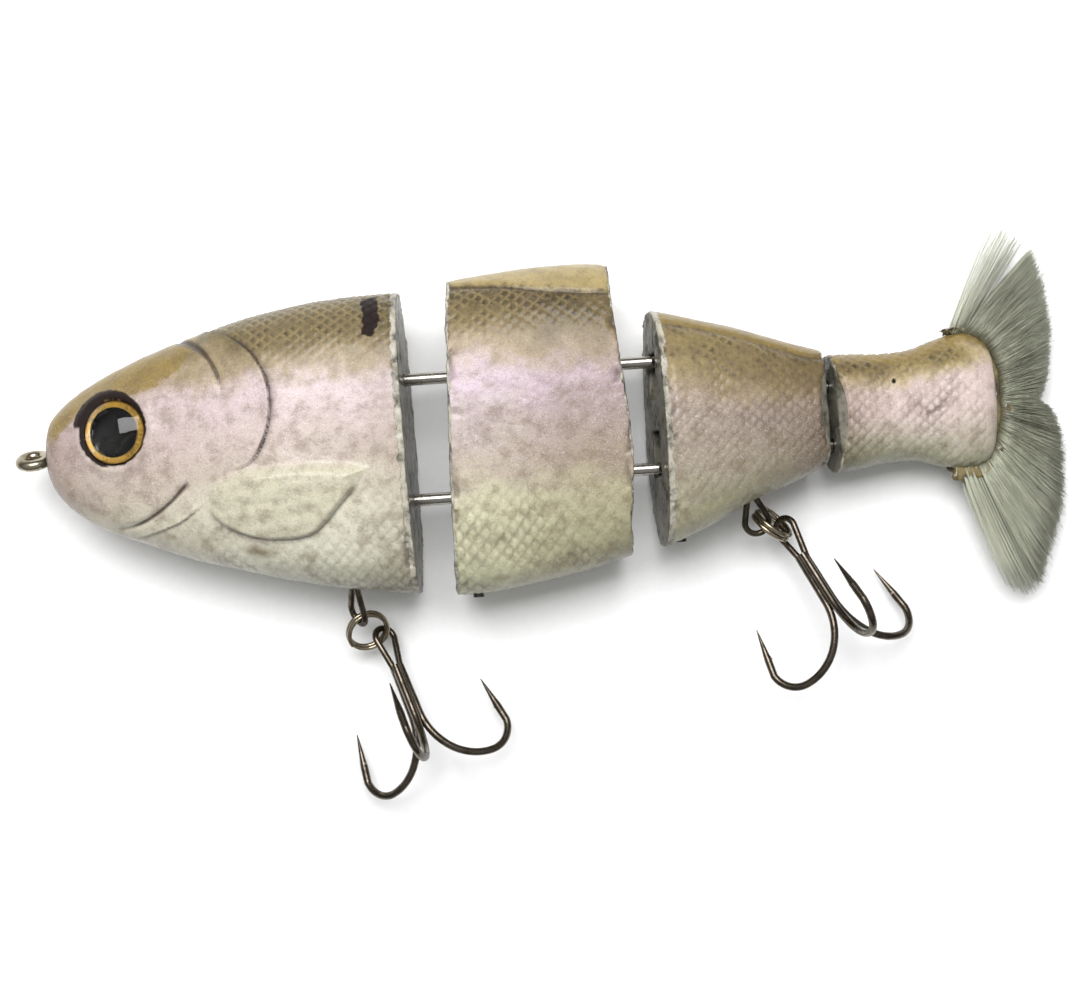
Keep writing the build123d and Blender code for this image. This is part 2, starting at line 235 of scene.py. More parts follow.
def set_mark(piece, name, values):
    """Stores a number or a vector on each point, for the materials to read."""
    vector = values.ndim == 2
    mark = piece.data.attributes.new(name, "FLOAT_VECTOR" if vector else "FLOAT", "POINT")
    mark.data.foreach_set("vector" if vector else "value", values.astype(np.float32).ravel())


def give_material(piece, material):
    piece.data.materials.clear()
    piece.data.materials.append(material)


# ---- helpers for materials ------------------------------------------------------------------------
def rgb(red, green, blue):
    """A display colour as the linear values that shaders use."""
    return tuple(((value / 255 + 0.055) / 1.055) ** 2.4 for value in (red, green, blue)) + (1.0,)


def feed(tree, socket, value):
    """Gives a socket another node's socket or a plain value."""
    if isinstance(value, bpy.types.NodeSocket):
        tree.links.new(value, socket)
    else:
        socket.default_value = value


def put(tree, kind, inputs=None, **settings):
    """Adds a shader node; each input is another node's socket or a plain value."""
    node = tree.nodes.new("ShaderNode" + kind)
    for key, value in settings.items():
        setattr(node, key, value)
    for key, value in (inputs or {}).items():
        feed(tree, node.inputs[key], value)
    return node


def calc(tree, operation, first, second=0.0, third=0.0):
    return put(tree, "Math", {0: first, 1: second, 2: third}, operation=operation).outputs[0]


def between(tree, value, low, high, start=0.0, end=1.0):
    """A soft step: start below low and end above high."""
    inputs = {"Value": value, "From Min": low, "From Max": high, "To Min": start, "To Max": end}
    return put(tree, "MapRange", inputs, interpolation_type="SMOOTHSTEP").outputs[0]


def mixed(tree, share, first, second, way="MIX"):
    node = put(tree, "Mix", {0: share, 6: first, 7: second}, data_type="RGBA", blend_type=way)
    return node.outputs[2]


def noise(tree, place, scale, detail=2.0, roughness=0.5):
    inputs = {"Vector": place, "Scale": scale, "Detail": detail, "Roughness": roughness}
    return put(tree, "TexNoise", inputs).outputs[0]


def mark(tree, name, vector=False):
    node = put(tree, "Attribute", attribute_name=name)
    return node.outputs["Vector" if vector else "Fac"]


def ramp(tree, value, stops):
    """Colours by value; the stops are (value, colour) pairs."""
    low, high = stops[0][0], stops[-1][0]
    share = put(tree, "MapRange", {"Value": value, "From Min": low, "From Max": high}).outputs[0]
    node = put(tree, "ValToRGB", {0: share})
    elements = node.color_ramp.elements
    while len(elements) < len(stops):
        elements.new(0.5)
    for element, (place, colour) in zip(elements, stops):
        element.position = (place - low) / (high - low)
        element.color = colour
    return node.outputs[0]


def new_group(name, inputs, outputs):
    """An empty shader node group with named sockets; returns its tree, inputs and output node."""
    tree = bpy.data.node_groups.new(name, "ShaderNodeTree")
    kinds = {"value": "NodeSocketFloat", "colour": "NodeSocketColor", "vector": "NodeSocketVector"}
    for socket, kind in inputs:
        tree.interface.new_socket(socket, in_out="INPUT", socket_type=kinds[kind])
    for socket, kind in outputs:
        tree.interface.new_socket(socket, in_out="OUTPUT", socket_type=kinds[kind])
    start = tree.nodes.new("NodeGroupInput")
    end = tree.nodes.new("NodeGroupOutput")
    return tree, start.outputs, end.inputs


def use(tree, name, inputs):
    """Places a node group in a tree and returns its outputs."""
    group = bpy.data.node_groups.get(name) or GROUPS[name]()
    node = tree.nodes.new("ShaderNodeGroup")
    node.node_tree = group
    for key, value in inputs.items():
        feed(tree, node.inputs[key], value)
    return node.outputs


def ragged_edge():
    """Where a signed distance passes a limit, with an edge frayed by noise."""
    tree, given, made = new_group("ragged_edge", [
        ("Place", "vector"), ("Distance", "value"), ("Limit", "value"), ("Softness", "value"),
        ("Fray", "value"), ("Fray Scale", "value")], [("Mask", "value")])
    wave = noise(tree, given["Place"], given["Fray Scale"], 4.0, 0.6)
    centred = calc(tree, "SUBTRACT", wave, 0.5)
    shifted = calc(tree, "MULTIPLY_ADD", centred, given["Fray"], given["Distance"])
    past = calc(tree, "SUBTRACT", shifted, given["Limit"])
    share = calc(tree, "DIVIDE", past, given["Softness"])
    tree.links.new(between(tree, share, -0.5, 0.5), made["Mask"])
    return tree


def flecks():
    """Fine specks and broad clouds of a second colour over a paint."""
    tree, given, made = new_group("flecks", [
        ("Place", "vector"), ("Colour", "colour"), ("Fleck Colour", "colour"), ("Scale", "value"),
        ("Flecks", "value"), ("Clouds", "value")], [("Colour", "colour"), ("Height", "value")])
    fine = noise(tree, given["Place"], given["Scale"], 6.0, 0.82)
    broad_scale = calc(tree, "MULTIPLY", given["Scale"], 0.16)
    broad = noise(tree, given["Place"], broad_scale, 4.0, 0.6)
    speck = calc(tree, "MULTIPLY", between(tree, fine, 0.5, 0.72), given["Flecks"])
    cloud = calc(tree, "MULTIPLY", between(tree, broad, 0.42, 0.7), given["Clouds"])
    amount = calc(tree, "ADD", speck, cloud)
    colour = mixed(tree, amount, given["Colour"], given["Fleck Colour"])
    light = between(tree, fine, 0.3, 0.7, 0.7, 1.3)
    grey = put(tree, "CombineColor", {0: light, 1: light, 2: light}).outputs[0]
    toned = mixed(tree, 1.0, colour, grey, "MULTIPLY")
    tree.links.new(toned, made["Colour"])
    tree.links.new(fine, made["Height"])
    return tree


PIT_BROWN = rgb(38, 34, 28)
NET_LINE = 0.3                        # width of the paler line round a scale, in scales


def scale_net():
    """Rounded scales in rows: how near an edge a point is, how far back on its scale, and which scale."""
    tree, given, made = new_group("scale_net", [("Weave", "vector"), ("Line", "value")],
                                  [("Net", "value"), ("Rear", "value"), ("Cell", "value")])
    flat = put(tree, "SeparateXYZ", {0: given["Weave"]}).outputs
    bowed = []
    for own, other in ((0, 1), (1, 0)):
        wave = calc(tree, "ABSOLUTE", calc(tree, "SINE", calc(tree, "MULTIPLY", flat[other], math.pi)))
        bowed.append(calc(tree, "MULTIPLY_ADD", wave, -SCALE_BOW, flat[own]))
    parts = [calc(tree, "SUBTRACT", calc(tree, "FRACT", side), 0.5) for side in bowed]
    far = calc(tree, "MAXIMUM", *[calc(tree, "ABSOLUTE", part) for part in parts])
    tree.links.new(between(tree, calc(tree, "SUBTRACT", 0.5, far), given["Line"], 0.0), made["Net"])
    tree.links.new(calc(tree, "ADD", calc(tree, "ADD", *parts), 0.5), made["Rear"])
    cells = [calc(tree, "FLOOR", side) for side in bowed]
    corner = put(tree, "CombineXYZ", {0: cells[0], 1: cells[1]}).outputs[0]
    tree.links.new(put(tree, "TexWhiteNoise", {"Vector": corner}).outputs[0], made["Cell"])
    return tree


def rubbed_metal():
    """Wire with fine draw lines, dull patches and small dark pits."""
    tree, given, made = new_group("rubbed_metal", [
        ("Place", "vector"), ("Bright", "colour"), ("Dull", "colour"), ("Scale", "value"),
        ("Wear", "value")], [("Colour", "colour"), ("Roughness", "value"), ("Height", "value")])
    patches = noise(tree, given["Place"], given["Scale"], 5.0, 0.65)
    fine_scale = calc(tree, "MULTIPLY", given["Scale"], 9.0)
    fine = noise(tree, given["Place"], fine_scale, 3.0, 0.6)
    dull = calc(tree, "MULTIPLY", between(tree, patches, 0.42, 0.62), given["Wear"])
    pits = calc(tree, "MULTIPLY", between(tree, fine, 0.6, 0.75), given["Wear"])
    colour = mixed(tree, dull, given["Bright"], given["Dull"])
    colour = mixed(tree, calc(tree, "MULTIPLY", pits, 0.6), colour, PIT_BROWN)
    tree.links.new(colour, made["Colour"])
    rough = calc(tree, "MULTIPLY_ADD", dull, 0.2, 0.14)
    tree.links.new(calc(tree, "MULTIPLY_ADD", fine, 0.12, rough), made["Roughness"])
    relief = calc(tree, "MULTIPLY_ADD", patches, 0.6, calc(tree, "MULTIPLY", fine, 0.4))
    tree.links.new(relief, made["Height"])
    return tree


# depth of each material's fine relief, in metres
DEPTHS = {"paint": 0.00022, "foil": 0.00006, "pupil": 0.00003, "lens": 0.00008, "wire": 0.00004,
          "bristle": 0.00002, "glue": 0.0001}
GROUPS = {group.__name__: group for group in (ragged_edge, flecks, scale_net, rubbed_metal)}


def new_material(name):
    material = bpy.data.materials.new(name)
    material.use_nodes = True
    tree = material.node_tree
    return material, tree, tree.nodes["Principled BSDF"].inputs


def bump(tree, height, distance, strength=1.0):
    inputs = {"Height": height, "Distance": distance, "Strength": strength}
    return put(tree, "Bump", inputs).outputs[0]


# ---- paint ----------------------------------------------------------------------------------------
# colours by zone: below -1 is the belly, above 1 the scaled back, between them the pearly flank
# The first stop of each list, at -3, is painted shade: the belly darkens where it turns under.
FRONT_ZONES = [(-3.0, rgb(122, 120, 98)), (-1.9, rgb(206, 205, 186)), (-1.0, rgb(208, 203, 184)),
               (-0.6, rgb(194, 182, 170)), (0.1, rgb(196, 180, 176)), (0.58, rgb(201, 184, 185)),
               (1.0, rgb(160, 144, 114)), (1.45, rgb(108, 97, 66)), (2.4, rgb(80, 72, 47))]
MID_ZONES = [(-3.0, rgb(122, 120, 98)), (-1.9, rgb(200, 200, 168)), (-1.15, rgb(204, 201, 170)),
             (-0.7, rgb(184, 172, 156)), (0.1, rgb(187, 172, 172)), (0.52, rgb(200, 181, 194)),
             (0.95, rgb(168, 150, 120)), (1.4, rgb(124, 110, 74)), (2.4, rgb(82, 72, 44))]
REAR_ZONES = [(-3.0, rgb(120, 118, 92)), (-1.6, rgb(166, 164, 134)), (-1.0, rgb(160, 152, 133)),
              (-0.3, rgb(155, 144, 130)), (0.5, rgb(164, 150, 138)), (1.0, rgb(158, 142, 108)),
              (1.6, rgb(140, 124, 82)), (2.6, rgb(118, 103, 64))]
TAIL_ZONES = [(-3.0, rgb(116, 118, 92)), (-1.5, rgb(160, 160, 134)), (-0.9, rgb(184, 174, 160)),
              (-0.1, rgb(206, 188, 182)), (0.6, rgb(203, 185, 178)), (1.1, rgb(186, 168, 132)),
              (1.8, rgb(146, 128, 82)), (2.8, rgb(106, 92, 56))]
OCHRE = rgb(132, 112, 60)
RIDGE_GOLD = rgb(160, 143, 98)
NET_DARK = rgb(40, 34, 20)
NET_LIGHT = rgb(140, 124, 84)
FLECK_BROWN = rgb(104, 88, 66)
PEARL_GLINT = rgb(244, 228, 244)
DARKENING_TINT = rgb(166, 154, 136)
FIN_CREAM = rgb(190, 186, 162)
LINE_BROWN = rgb(50, 38, 32)
BLACK_PAINT_AND_SHADE = rgb(26, 14, 11)
RAW_RESIN = rgb(180, 175, 160)
RAW_DIRT_AND_SHADE = rgb(58, 56, 44)
WHITE = (1.0, 1.0, 1.0, 1.0)


def skin_material(name, zones, ridge):
    """Sprayed and sealed paint over cast resin; where the section is cut the resin is bare, flecked with
    dirt and darkened with painted shade.
    """
    material, tree, shader = new_material(name)
    place = mark(tree, "place_mm", True)
    weave = mark(tree, "weave", True)
    clouds = calc(tree, "SUBTRACT", noise(tree, place, 0.22, 5.0, 0.62), 0.5)
    zone = calc(tree, "MULTIPLY_ADD", clouds, 1.1, mark(tree, "zone"))
    base = ramp(tree, zone, zones)

    net = use(tree, "scale_net", {"Weave": weave, "Line": NET_LINE})
    # The dark net paint in each cell is deepest at the scale's front, as painted shade under the
    # overlapping scale, and fades towards its rear.
    shade = calc(tree, "MULTIPLY", between(tree, net["Rear"], 1.0, 0.0, 0.15, 1.0),
                 between(tree, net["Cell"], 0.0, 1.0, 0.5, 1.0))
    dark = mixed(tree, shade, base, NET_DARK)
    cells = mixed(tree, calc(tree, "MULTIPLY", net["Net"], 0.85), dark, NET_LIGHT)
    patchy = between(tree, noise(tree, place, 0.5, 3.0), 0.3, 0.58)
    amount = calc(tree, "MULTIPLY", put(tree, "SeparateXYZ", {0: weave}).outputs[2], patchy)
    colour = mixed(tree, calc(tree, "MULTIPLY", amount, 0.95), base, cells)
    # Darker by a mark given along the lure: most near the sections' ends and the head's nose, and at the
    # head's belly smudge.
    darkened = mixed(tree, 1.0, colour, DARKENING_TINT, "MULTIPLY")
    colour = mixed(tree, mark(tree, "darkening"), colour, darkened)

    ochre = use(tree, "ragged_edge", {"Place": place, "Distance": mark(tree, "ochre_mm"), "Limit": 0.0,
                                      "Softness": 1.3, "Fray": 2.4, "Fray Scale": 0.7})["Mask"]
    colour = mixed(tree, ochre, colour, ridge)
    fin = between(tree, mark(tree, "fin_mm"), -0.2, 1.2)
    colour = mixed(tree, calc(tree, "MULTIPLY", fin, 0.8), colour, FIN_CREAM)

    spotted = use(tree, "flecks", {"Place": place, "Colour": colour, "Fleck Colour": FLECK_BROWN,
                                   "Scale": 2.6, "Flecks": 0.8, "Clouds": 0.42})
    # Painted glints: pale specks on the flank stand for the sparkle of the pearl flakes.
    glints = between(tree, noise(tree, place, 4.6, 3.0, 0.8), 0.56, 0.7, 0.0, 0.5)
    on_flank = calc(tree, "MULTIPLY", between(tree, zone, -2.4, -0.4), between(tree, zone, 1.3, 0.7))
    colour = mixed(tree, calc(tree, "MULTIPLY", glints, on_flank), spotted["Colour"], PEARL_GLINT)
    # Painted shade: brown in the hollows of the sculpted relief, deepest where it sinks most.
    hollow_shade = between(tree, mark(tree, "relief_mm"), -0.02, -0.26)
    colour = mixed(tree, calc(tree, "MULTIPLY", hollow_shade, 0.5), colour, LINE_BROWN)
    # Dark lines along grooves and raised edges, mostly painted shade.
    line = between(tree, mark(tree, "line_mm"), 0.5, 0.1)
    colour = mixed(tree, calc(tree, "MULTIPLY", line, 0.8), colour, LINE_BROWN)
    # Black: real black paint marks, and painted shade in the eye sockets' gaps.
    black_paint_and_shade = use(tree, "ragged_edge", {"Place": place, "Distance": mark(tree, "black_paint_and_shade_mm"), "Limit": 0.0,
                                     "Softness": 0.3, "Fray": 0.7, "Fray Scale": 1.1})["Mask"]
    colour = mixed(tree, black_paint_and_shade, colour, BLACK_PAINT_AND_SHADE)

    kept = use(tree, "ragged_edge", {"Place": place, "Distance": mark(tree, "edge_mm"), "Limit": 0.0,
                                     "Softness": 0.22, "Fray": 1.5, "Fray Scale": 0.62})["Mask"]
    painted = calc(tree, "MULTIPLY", kept, between(tree, mark(tree, "skin"), 0.35, 0.65))
    bare = use(tree, "flecks", {"Place": place, "Colour": RAW_RESIN, "Fleck Colour": RAW_DIRT_AND_SHADE,
                                "Scale": 2.2, "Flecks": 0.75, "Clouds": 0.9})
    # Painted shade: the bare resin darkens from the painted rim inwards, over the cut faces and into the
    # slots.
    inside = between(tree, mark(tree, "skin"), 0.9, 0.1, 0.0, 0.6)
    colour = mixed(tree, painted, mixed(tree, inside, bare["Colour"], RAW_DIRT_AND_SHADE), colour)
    feed(tree, shader["Base Color"], colour)
    pits = noise(tree, place, 3.0, 5.0, 0.72)
    rough = calc(tree, "MULTIPLY_ADD", pits, 0.24, between(tree, painted, 0.0, 1.0, 0.5, 0.24))
    feed(tree, shader["Roughness"], rough)
    height = calc(tree, "MULTIPLY_ADD", spotted["Height"], 0.6, calc(tree, "MULTIPLY", pits, 0.5))
    lip = calc(tree, "MULTIPLY_ADD", painted, 0.8, height)
    feed(tree, shader["Normal"], bump(tree, lip, DEPTHS["paint"], 0.9))
    feed(tree, shader["Coat Weight"], between(tree, black_paint_and_shade, 0.0, 1.0, 0.45, 0.0))
    shader["Coat Roughness"].default_value = 0.2
    shader["Specular IOR Level"].default_value = 0.22
    return material


class LureSkinSettings(bpy.types.PropertyGroup):
    """How finely the four sections are sculpted and how deep their relief is."""
    voxel: FloatProperty(name="Mesh step", description="Edge length of the sculpted mesh",
                         default=0.28 * MM, min=0.1 * MM, subtype="DISTANCE")
    scale_relief: FloatProperty(name="Scale relief", description="Height of the moulded scales",
                                default=0.17 * MM, subtype="DISTANCE")
    scale_length: FloatProperty(name="Scale length", description="Length of a scale along the lure",
                                default=2.0 * MM, subtype="DISTANCE")
    scale_width: FloatProperty(name="Scale width", description="Width of a scale on the back",
                               default=1.75 * MM, subtype="DISTANCE")
    fin_rise: FloatProperty(name="Fin rise", description="How far the side fins stand out",
                            default=0.95 * MM, subtype="DISTANCE")


class Skin:
    """A sculpted section: its piece, its points in the straight frame, and where each lies on the skin."""

    def __init__(self, section, nodes, settings):
        self.section = section
        self.settings = settings
        self.piece = copy_of(nodes, f"{section}_sculpted_body")
        remesh(self.piece, settings.voxel)
        self.points = straighten(mesh_points(self.piece), section)
        self.normals = straighten(mesh_normals(self.piece), section, vectors=True)
        self.u, self.v, self.w = self.points.T
        self.places = self.points[:, :2]
        self.height = np.zeros(len(self.points))
        far = np.full(len(self.points), FAR_MM)
        self.marks = {"place_mm": self.points, "line_mm": far,
                      "ochre_mm": -far, "fin_mm": -far, "black_paint_and_shade_mm": -far}
        no_cut = np.full(len(self.points), NO_CUT)
        self.front_gap = no_cut if section == "head" else self.gap(-1)
        self.rear_gap = no_cut if section == "tail" else self.gap(1)
        self.edge = np.minimum(self.front_gap, self.rear_gap)
        self.measure()

    def gap(self, side):
        """Distance along the lure from the section's cut face at its front (-1) or rear (1)."""
        end = (side * self.u).max()
        on_face = (side * self.normals[:, 0] > 0.95) & (side * self.u > end - 1.6)
        lean, place = np.polyfit(self.v[on_face], self.u[on_face], 1)
        return side * (place + lean * self.v - self.u)

    def measure(self):
        """The skin's outline at each point, and how far round the section the point lies."""
        step = 0.5
        inner = np.clip(self.u, self.u.min() + (self.section != "head") * CUT_MARGIN,
                        self.u.max() - (self.section != "tail") * CUT_MARGIN)
        bins = ((self.u - self.u.min()) / step).astype(int)
        limits = np.full((bins.max() + 1, 3), -NO_CUT)
        for column, values in enumerate((self.v, -self.v, np.abs(self.w))):
            np.maximum.at(limits[:, column], bins, values)
        centres = self.u.min() + step * (np.arange(len(limits)) + 0.5)
        self.back = np.interp(inner, centres, limits[:, 0])
        self.belly = -np.interp(inner, centres, limits[:, 1])
        self.half = np.interp(inner, centres, limits[:, 2])
        middle, tall = (self.back + self.belly) / 2, (self.back - self.belly) / 2
        across = np.clip((self.v - middle) / tall, -1, 1)
        outward = (np.abs(across) ** SECTION_BLEND
                   + (np.abs(self.w) / self.half) ** SECTION_BLEND) ** (1 / SECTION_BLEND)
        flat_face = smooth(np.abs(self.normals[:, 0]), 0.9, 0.7)
        near_cut = smooth(self.edge, 1.2, 0.4)
        self.skin = smooth(outward, 0.9, 0.95) * (1 - near_cut * (1 - flat_face))
        turn = np.linspace(0, math.pi / 2, 200)
        rise = np.sin(turn) ** (2 / SECTION_BLEND)
        bulge = np.cos(turn) ** (2 / SECTION_BLEND) * np.mean(self.half / tall)
        walked = np.concatenate([[0], np.cumsum(np.hypot(np.diff(rise), np.diff(bulge)))])
        self.around = np.sign(across) * tall * np.interp(np.abs(across), rise, walked)
        self.marks["skin"] = self.skin

    def zones(self, upper, lower, darkening):
        """Marks each point's zone, from the heights of the flank's two edges, and how far its colour is
        darkened along the lure.
        """
        top = np.interp(self.u, *zip(*upper))
        low = np.interp(self.u, *zip(*lower))
        self.zone = 2 * (self.v - low) / (top - low) - 1
        self.marks["zone"] = self.zone
        self.marks["darkening"] = np.interp(self.u, *zip(*darkening))

    def scales(self, covered, flank=0.2):
        """Moulded scales: cells with bowed edges, each a low ramp towards its rear corner."""
        length, width = self.settings.scale_length / MM, self.settings.scale_width / MM
        wander = 0.16 * grain(self.points, 5.0, 11)
        rows = self.around / width
        start = BELLY_START / width
        rows = np.where(rows < start, start + (rows - start) * BELLY_CROWDING, rows)
        first = self.u / length + rows + wander
        second = self.u / length - rows + wander
        bowed = [first - SCALE_BOW * np.abs(np.sin(math.pi * second)),
                 second - SCALE_BOW * np.abs(np.sin(math.pi * first))]
        parts = [bowed[0] % 1 - 0.5, bowed[1] % 1 - 0.5]
        edge = 0.5 - np.maximum(np.abs(parts[0]), np.abs(parts[1]))
        bump_shape = smooth(edge, 0, 0.3) * (0.6 + 0.4 * (parts[0] + parts[1]))
        on_back, on_belly = smooth(self.zone, 0.75, 1.5), smooth(self.zone, -0.6, -1.25)
        worn = 0.6 + 0.6 * smooth(grain(self.points, 4.0, 12), -0.4, 0.5)
        amount = np.maximum(np.maximum(on_back, on_belly * 1.15), flank) * worn * covered
        self.height += amount * (bump_shape - 0.45) * self.settings.scale_relief / MM
        self.marks["weave"] = np.column_stack([first, second, on_back * covered])

    def lumps(self):
        """Hand-finished unevenness on the skin, and the rough saw and cast marks on bare faces."""
        points = self.points
        on_skin = (0.1 * grain(points, 7.0, 21) + 0.05 * grain(points, 2.2, 22)
                   + 0.03 * grain(points, 0.75, 23))
        on_face = 0.12 * grain(points, 2.6, 24) + 0.1 * grain(points, 0.9, 25)
        outside = np.maximum(self.skin, smooth(self.edge, 0.6, 0.2))
        self.height = self.height * self.skin + np.where(self.skin > 0.5, on_skin, on_face * outside)

    def edges(self, wear, front=0.5, rear=0.5):
        """Chips the painted edges: front and rear are how far the paint stops short of the cut faces."""
        chips = smooth(grain(self.points, 1.9, 31) + 0.4 * grain(self.points, 0.8, 32), 0.1, 0.6)
        self.height -= wear * chips * smooth(self.edge, 2.2, 0.2) * self.skin
        self.marks["edge_mm"] = np.minimum(self.front_gap - front, self.rear_gap - rear)

    def dark_line(self, distance, share=None):
        """Adds a dark line along a groove or a raised edge, mostly painted shade; where its share of
        strength falls, it narrows away.
        """
        if share is not None:
            distance = np.abs(distance) + (1 - share) * 1.2
        self.marks["line_mm"] = np.minimum(self.marks["line_mm"], np.abs(distance))

    def finish(self, nodes, material):
        """Moves the points out by the relief, stores the marks and puts the piece in its place."""
        self.marks["relief_mm"] = self.height
        laid = lay_down(self.points + self.normals * self.height[:, None], self.section)
        laid[:, 2] = np.maximum(laid[:, 2], REST_GAP * smooth(laid[:, 2], -2 * REST_GAP, 2 * REST_GAP))
        set_points(self.piece, laid)
        for name, values in self.marks.items():
            set_mark(self.piece, name, values)
        give_material(self.piece, material)
        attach(self.piece, f"{self.section}_section")
        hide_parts(*nodes)


# ---- head -----------------------------------------------------------------------------------------
EYE_AT = np.array([11.9, 4.6])
SOCKET_RADIUS = 4.85
BROW_OUTER = 5.8
BROW_INNER = 4.7
FRONT_OUTER = 5.2                     # painted shade in the socket's gap before the eye
GILL_EDGE = [(23.5, 18.6), (27.0, 18.3), (30.0, 17.0), (33.0, 14.5), (34.9, 11.0), (35.4, 7.5),
             (34.9, 4.0), (33.7, 1.0), (32.2, -1.0), (30.3, -2.0), (28.0, -2.2)]
GILL_CREASE = [(20.3, 17.4), (22.6, 17.2), (25.0, 15.9), (27.0, 13.6), (28.1, 10.6), (28.3, 7.6)]
MOUTH = [(22.9, -3.1), (21.6, -4.4), (19.6, -6.2), (17.2, -7.8), (14.6, -9.0), (11.6, -9.5), (8.2, -8.8)]
JAW = [(25.0, -6.4), (23.2, -7.8), (21.0, -9.1), (18.4, -10.0), (15.5, -10.7), (11.5, -11.2)]
SIDE_FIN = [(24.9, -6.2), (25.6, -4.2), (28.0, -2.6), (32.5, -1.7), (38.5, -1.5), (44.5, -1.7),
            (49.0, -2.6), (49.3, -3.6), (47.4, -5.6), (44.6, -8.4), (42.4, -10.7), (40.4, -12.2),
            (37.0, -12.8), (32.0, -12.3), (28.0, -10.6), (25.7, -8.6)]
FOREHEAD_EDGE = [(-1.0, 3.4), (2.5, 4.2), (6.0, 7.6), (14.0, 9.6), (18.5, 10.8), (21.5, 12.6),
                 (24.0, 16.2), (26.0, 30.0)]
FIN_MIDDLE = (23.0, -8.4)             # a point on the fin's middle line
FIN_SLOPE = 0.11                      # how that line climbs towards the rear
BLOTCH_AT = (50.3, 19.1)              # the dark mark on the back, and half its length and height
BLOTCH_HALF = (1.15, 2.9)
BRUISE_AT = (32.0, -14.3)
ROD_HEIGHTS = (9.8, -8.3)
ROD_RADIUS = 1.0


